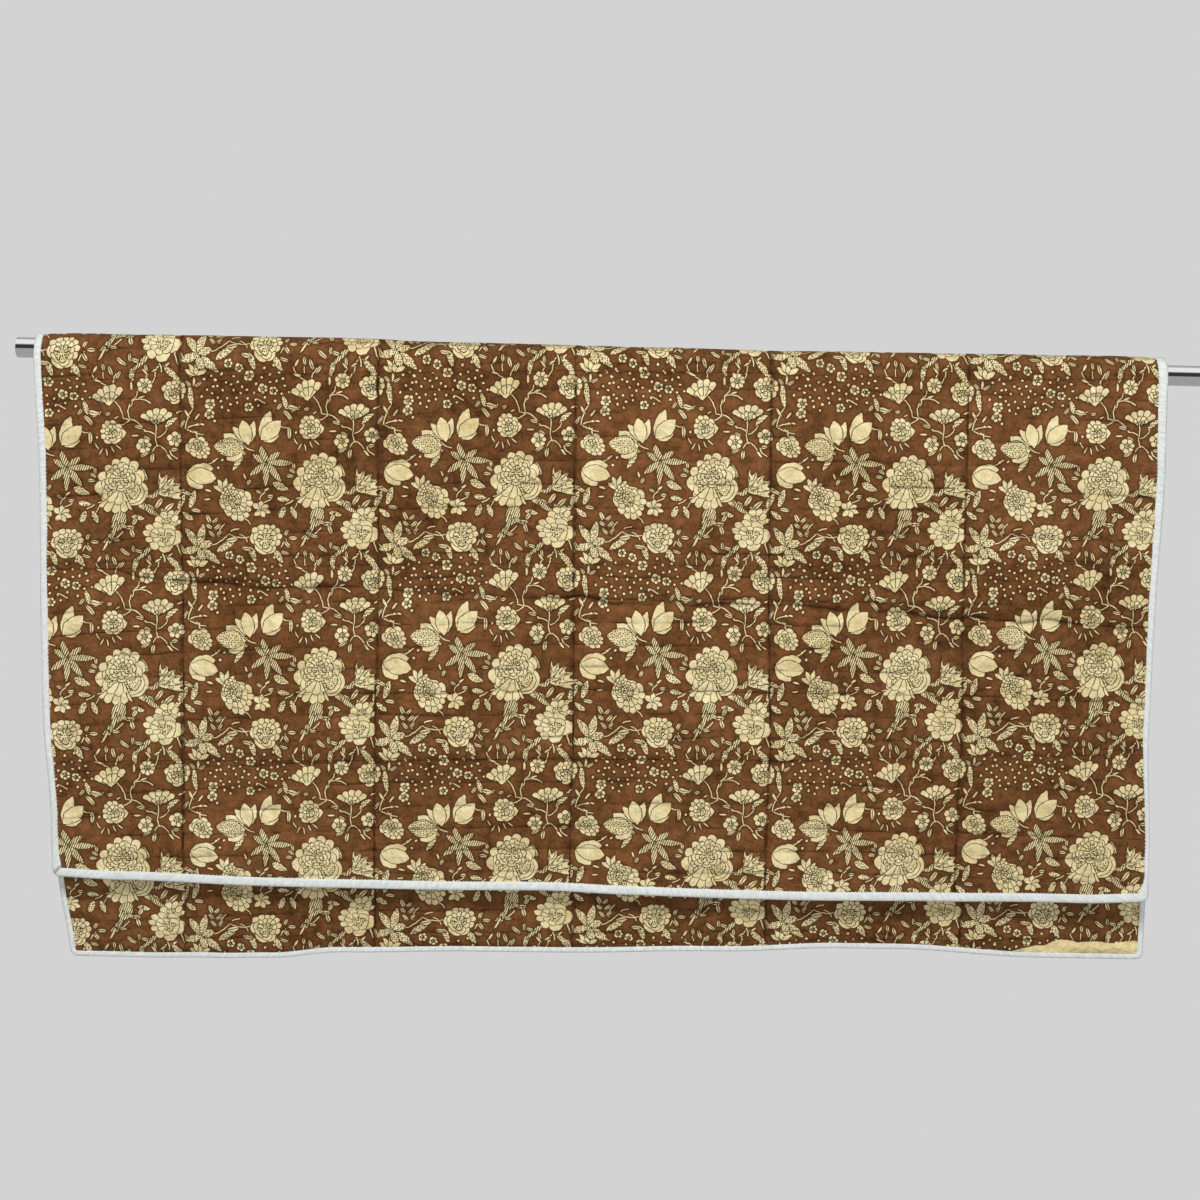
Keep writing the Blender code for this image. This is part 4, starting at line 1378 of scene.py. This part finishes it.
def white_cotton():
    """Bleached cotton strip, cut on the straight, pressed in half and hand stitched down, with painted shade
    darkening its white in the hollows of its buckles.
    """
    material, tree = new_material("white_cotton_strip")
    strip = add(tree, "UVMap", uv_map="strip")
    crumpled = add(tree, "VectorMath", (strip, BUCKLES_TO_METRE), operation="MULTIPLY")
    buckles = {"Vector": crumpled, "Scale": 1.0, "Detail": 2.0}
    folds = add(tree, "TexNoise", buckles, noise_dimensions="2D")
    threads = {"Vector": strip, "Scale": 1.0 / STRIP_WEAVE, "Detail": 1.0}
    weave = add(tree, "TexNoise", threads, noise_dimensions="2D")
    share, height = (
        add(tree, "Math", (weave, part, folds), operation="MULTIPLY_ADD")
        for part in (WEAVE_SHADE, WEAVE_RISE)
    )
    # Painted shade: the white is darker where the buckles sink.
    white_with_fold_shade = {0: share, 6: linear("#B9BEBB"), 7: linear("#E2E6E3")}
    colour = add(tree, "Mix", white_with_fold_shade, data_type="RGBA")
    bump = add(tree, "Bump", {"Strength": 1.0, "Distance": 0.0012, "Height": height})
    matt_cotton(tree, colour, bump, roughness=0.9)
    return material


def cotton_thread(name, deep, light):
    """Matt cotton thread, twisted from plies."""
    material, tree = new_material(name)
    place = add(tree, "TexCoord").outputs["Object"]
    plies = add(tree, "TexNoise", {"Vector": place, "Scale": PLIES_TO_METRE, "Detail": 1.0})
    colour = add(tree, "Mix", {0: plies, 6: linear(deep), 7: linear(light)}, data_type="RGBA")
    cotton = add(tree, "BsdfPrincipled", {"Base Color": colour, "Roughness": 0.85})
    add(tree, "OutputMaterial", (cotton,))
    return material


def white_thread():
    """Bleached white sewing thread."""
    return cotton_thread("white_sewing_thread", "#DDE1DF", "#F7F9F8")


def brown_thread():
    """Quilting thread, dyed brown with the cloth."""
    return cotton_thread("brown_quilting_thread", "#452A17", "#6E4A2E")


# ---- the rail
# Wall of the tube, how deep its open ends are drawn, and the bevel of its rims.
TUBE_WALL = 0.0012
TUBE_OPEN = 0.040
RIM_BEVEL = 0.0005
# Rubbing marks to the metre, and the roughness they give: noise from and to, roughness from and to.
RUBS_TO_METRE = (4.0, 900.0, 900.0)
RUB_ROUGHNESS = (0.3, 0.7, 0.07, 0.16)


def make_rail(material):
    """A 25 mm tube with a thin wall, open and softly deburred at both ends."""
    bpy.ops.object.select_all(action="DESELECT")
    middle = (rod_low + rod_high) / 2
    bpy.ops.mesh.primitive_cylinder_add(
        vertices=96, radius=ROD_RADIUS, depth=ROD_LENGTH, location=middle, rotation=(0.0, pi / 2, 0.0)
    )
    rail = bpy.context.object
    rail.name = rail.data.name = "chromed_rail"
    bpy.ops.object.transform_apply(location=True, rotation=True, scale=True)
    bpy.ops.object.mode_set(mode="EDIT")
    for end in (rod_low.x, rod_high.x):
        # First the end's rim is drawn, then its middle is pushed in.
        for depth in (0.0, TUBE_OPEN):
            bpy.ops.mesh.select_all(action="DESELECT")
            bpy.ops.object.mode_set(mode="OBJECT")
            for face in rail.data.polygons:
                cap = abs(face.normal.x) > 0.9 and len(face.vertices) > 4
                face.select = cap and abs(face.center.x - end) < TUBE_WALL
            bpy.ops.object.mode_set(mode="EDIT")
            if depth:
                inward = depth if end == rod_low.x else -depth
                bpy.ops.mesh.extrude_region_move(TRANSFORM_OT_translate={"value": (inward, 0.0, 0.0)})
            else:
                bpy.ops.mesh.inset(thickness=TUBE_WALL)
    bpy.ops.mesh.select_all(action="DESELECT")
    bpy.ops.object.mode_set(mode="OBJECT")
    for edge in rail.data.edges:
        ends = [rail.data.vertices[i].co for i in edge.vertices]
        at_end = all(min(abs(p.x - rod_low.x), abs(p.x - rod_high.x)) < RIM_BEVEL for p in ends)
        edge.select = at_end and all(hypot(p.y, p.z) > ROD_RADIUS - TUBE_WALL / 2 for p in ends)
    bpy.ops.object.mode_set(mode="EDIT")
    bpy.ops.mesh.bevel(offset=RIM_BEVEL, segments=3)
    bpy.ops.object.mode_set(mode="OBJECT")
    rail.data.materials.append(material)
    bpy.ops.object.shade_smooth_by_angle(angle=radians(35.0))
    return rail


def bright_chrome():
    """Bright chrome plate on drawn steel tube, rubbed faintly along its length."""
    material, tree = new_material("bright_chrome_plate")
    place = add(tree, "TexCoord").outputs["Object"]
    along = add(tree, "VectorMath", (place, RUBS_TO_METRE), operation="MULTIPLY")
    rub = add(tree, "TexNoise", {"Vector": along, "Scale": 1.0, "Detail": 2.0})
    rough = add(tree, "MapRange", (rub, *RUB_ROUGHNESS))
    look = {"Base Color": linear("#DCDDDC"), "Metallic": 1.0, "Roughness": rough}
    chrome = add(tree, "BsdfPrincipled", look)
    add(tree, "OutputMaterial", (chrome,))
    return material


# ---- the pieces
cloth = make_cloth(printed_materials())
binding = make_binding(white_cotton())
stitches = make_stitches(brown_thread())
overcasting = make_overcasting(white_thread())
rail = make_rail(bright_chrome())
face_outward(binding)
face_outward(cloth)
for piece in (cloth, binding, stitches, overcasting, rail):
    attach(piece, "root")
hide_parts("quilt")
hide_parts("binding")
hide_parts("rod")

# ---- studio
BACKDROP = linear("#D3D3D3")
CAMERA_PLACE = Vector((0.725, -2.4, 0.0191))
CAMERA_PITCH = 7.491
CAMERA_ROLL = -1.402
LENS = 57.96
# Pale paper below and behind the quilt.
FLOOR_SIZE = 60.0
FLOOR_MIDDLE = (0.7, 20.0)
FLOOR_DROP = 1.35
# How strongly the floor shines on the cloth, and in the chrome.
FLOOR_GLOW = 0.15
FLOOR_GLEAM = 0.70
AMBIENT = 0.34
# What the chrome sees, by the angle above straight ahead: a dark studio, then a bright ceiling, then
# the pale wall behind.
STUDIO_DARK = 0.07
CEILING_GLEAM = 1.7
WALL_GLEAM = 0.75
CEILING_FROM = (34.0, 50.0)
CEILING_TO = (100.0, 118.0)
# Soft boxes: place, size and power in watts. All face the middle of the front flap.
LIT_PLACE = Vector((0.72, 0.0, -0.35))
SOFT_BOXES = {
    "soft_box_key": ((0.58, -2.6, 1.95), (1.2, 0.8), 91.0),
    "soft_box_front": ((0.9, -3.4, -0.9), (2.4, 1.6), 72.0),
    "soft_box_behind": ((0.9, 3.2, 0.9), (2.4, 1.6), 105.0),
}


def make_camera():
    """The studio camera, pitched down a little and not quite level."""
    data = bpy.data.cameras.new("studio_camera")
    data.lens = LENS
    data.sensor_width = 36.0
    camera = bpy.data.objects.new("studio_camera", data)
    level = Matrix.Rotation(radians(90.0 - CAMERA_PITCH), 4, "X")
    roll = Matrix.Rotation(radians(-CAMERA_ROLL), 4, "Z")
    camera.matrix_world = Matrix.Translation(CAMERA_PLACE) @ level @ roll
    bpy.context.collection.objects.link(camera)
    bpy.context.scene.camera = camera
    return camera


def make_floor():
    """Pale seamless studio paper, large enough to reach past the picture."""
    material, tree = new_material("pale_studio_paper")
    path = add(tree, "LightPath")
    lit = add(tree, "Mix", (path.outputs["Is Glossy Ray"], None, FLOOR_GLOW, FLOOR_GLEAM))
    power = add(tree, "Mix", (path.outputs["Is Camera Ray"], None, lit, 1.0))
    paper = add(tree, "Emission", (BACKDROP, power))
    add(tree, "OutputMaterial", (paper,))
    bpy.ops.object.select_all(action="DESELECT")
    bpy.ops.mesh.primitive_plane_add(size=FLOOR_SIZE, location=(*FLOOR_MIDDLE, rod_low.z - FLOOR_DROP))
    floor = bpy.context.object
    floor.name = "studio_floor"
    floor.data.materials.append(material)
    return floor


def make_light(name, place, size, watts):
    """A soft box that faces the quilt and doesn't show in the chrome."""
    data = bpy.data.lights.new(name, "AREA")
    data.shape = "RECTANGLE"
    data.size, data.size_y = size
    data.energy = watts
    light = bpy.data.objects.new(name, data)
    light.location = place
    light.visible_glossy = False
    light.rotation_euler = (LIT_PLACE - Vector(place)).to_track_quat("-Z", "Y").to_euler()
    bpy.context.collection.objects.link(light)


def make_world():
    """A plain pale backdrop. The chrome sees the dark half of the studio in front of it."""
    world = bpy.data.worlds.new("studio")
    world.use_nodes = True
    tree = world.node_tree
    tree.nodes.clear()
    path = add(tree, "LightPath")
    way = add(tree, "TexCoord").outputs["Generated"]
    _, back, up = add(tree, "SeparateXYZ", (way,)).outputs
    ahead = add(tree, "Math", (back, -1.0), operation="MULTIPLY")
    angle = add(tree, "Math", (up, ahead), operation="ARCTAN2")
    ceiling, wall = (
        add(tree, "MapRange", (angle, radians(start), radians(end), before, after))
        for (start, end), before, after in (
            (CEILING_FROM, STUDIO_DARK, CEILING_GLEAM),
            (CEILING_TO, CEILING_GLEAM, WALL_GLEAM),
        )
    )
    seen = add(tree, "Math", (ceiling, wall), operation="MINIMUM")
    spread = add(tree, "Mix", (path.outputs["Is Glossy Ray"], None, AMBIENT, seen))
    strength = add(tree, "Mix", (path.outputs["Is Camera Ray"], None, spread, 1.0))
    shown = add(tree, "Background", (BACKDROP, strength))
    add(tree, "OutputWorld", (shown,))
    bpy.context.scene.world = world


make_camera()
floor = make_floor()
make_world()
for name, (place, size, watts) in SOFT_BOXES.items():
    make_light(name, place, size, watts)
bpy.context.scene.view_settings.view_transform = "Standard"
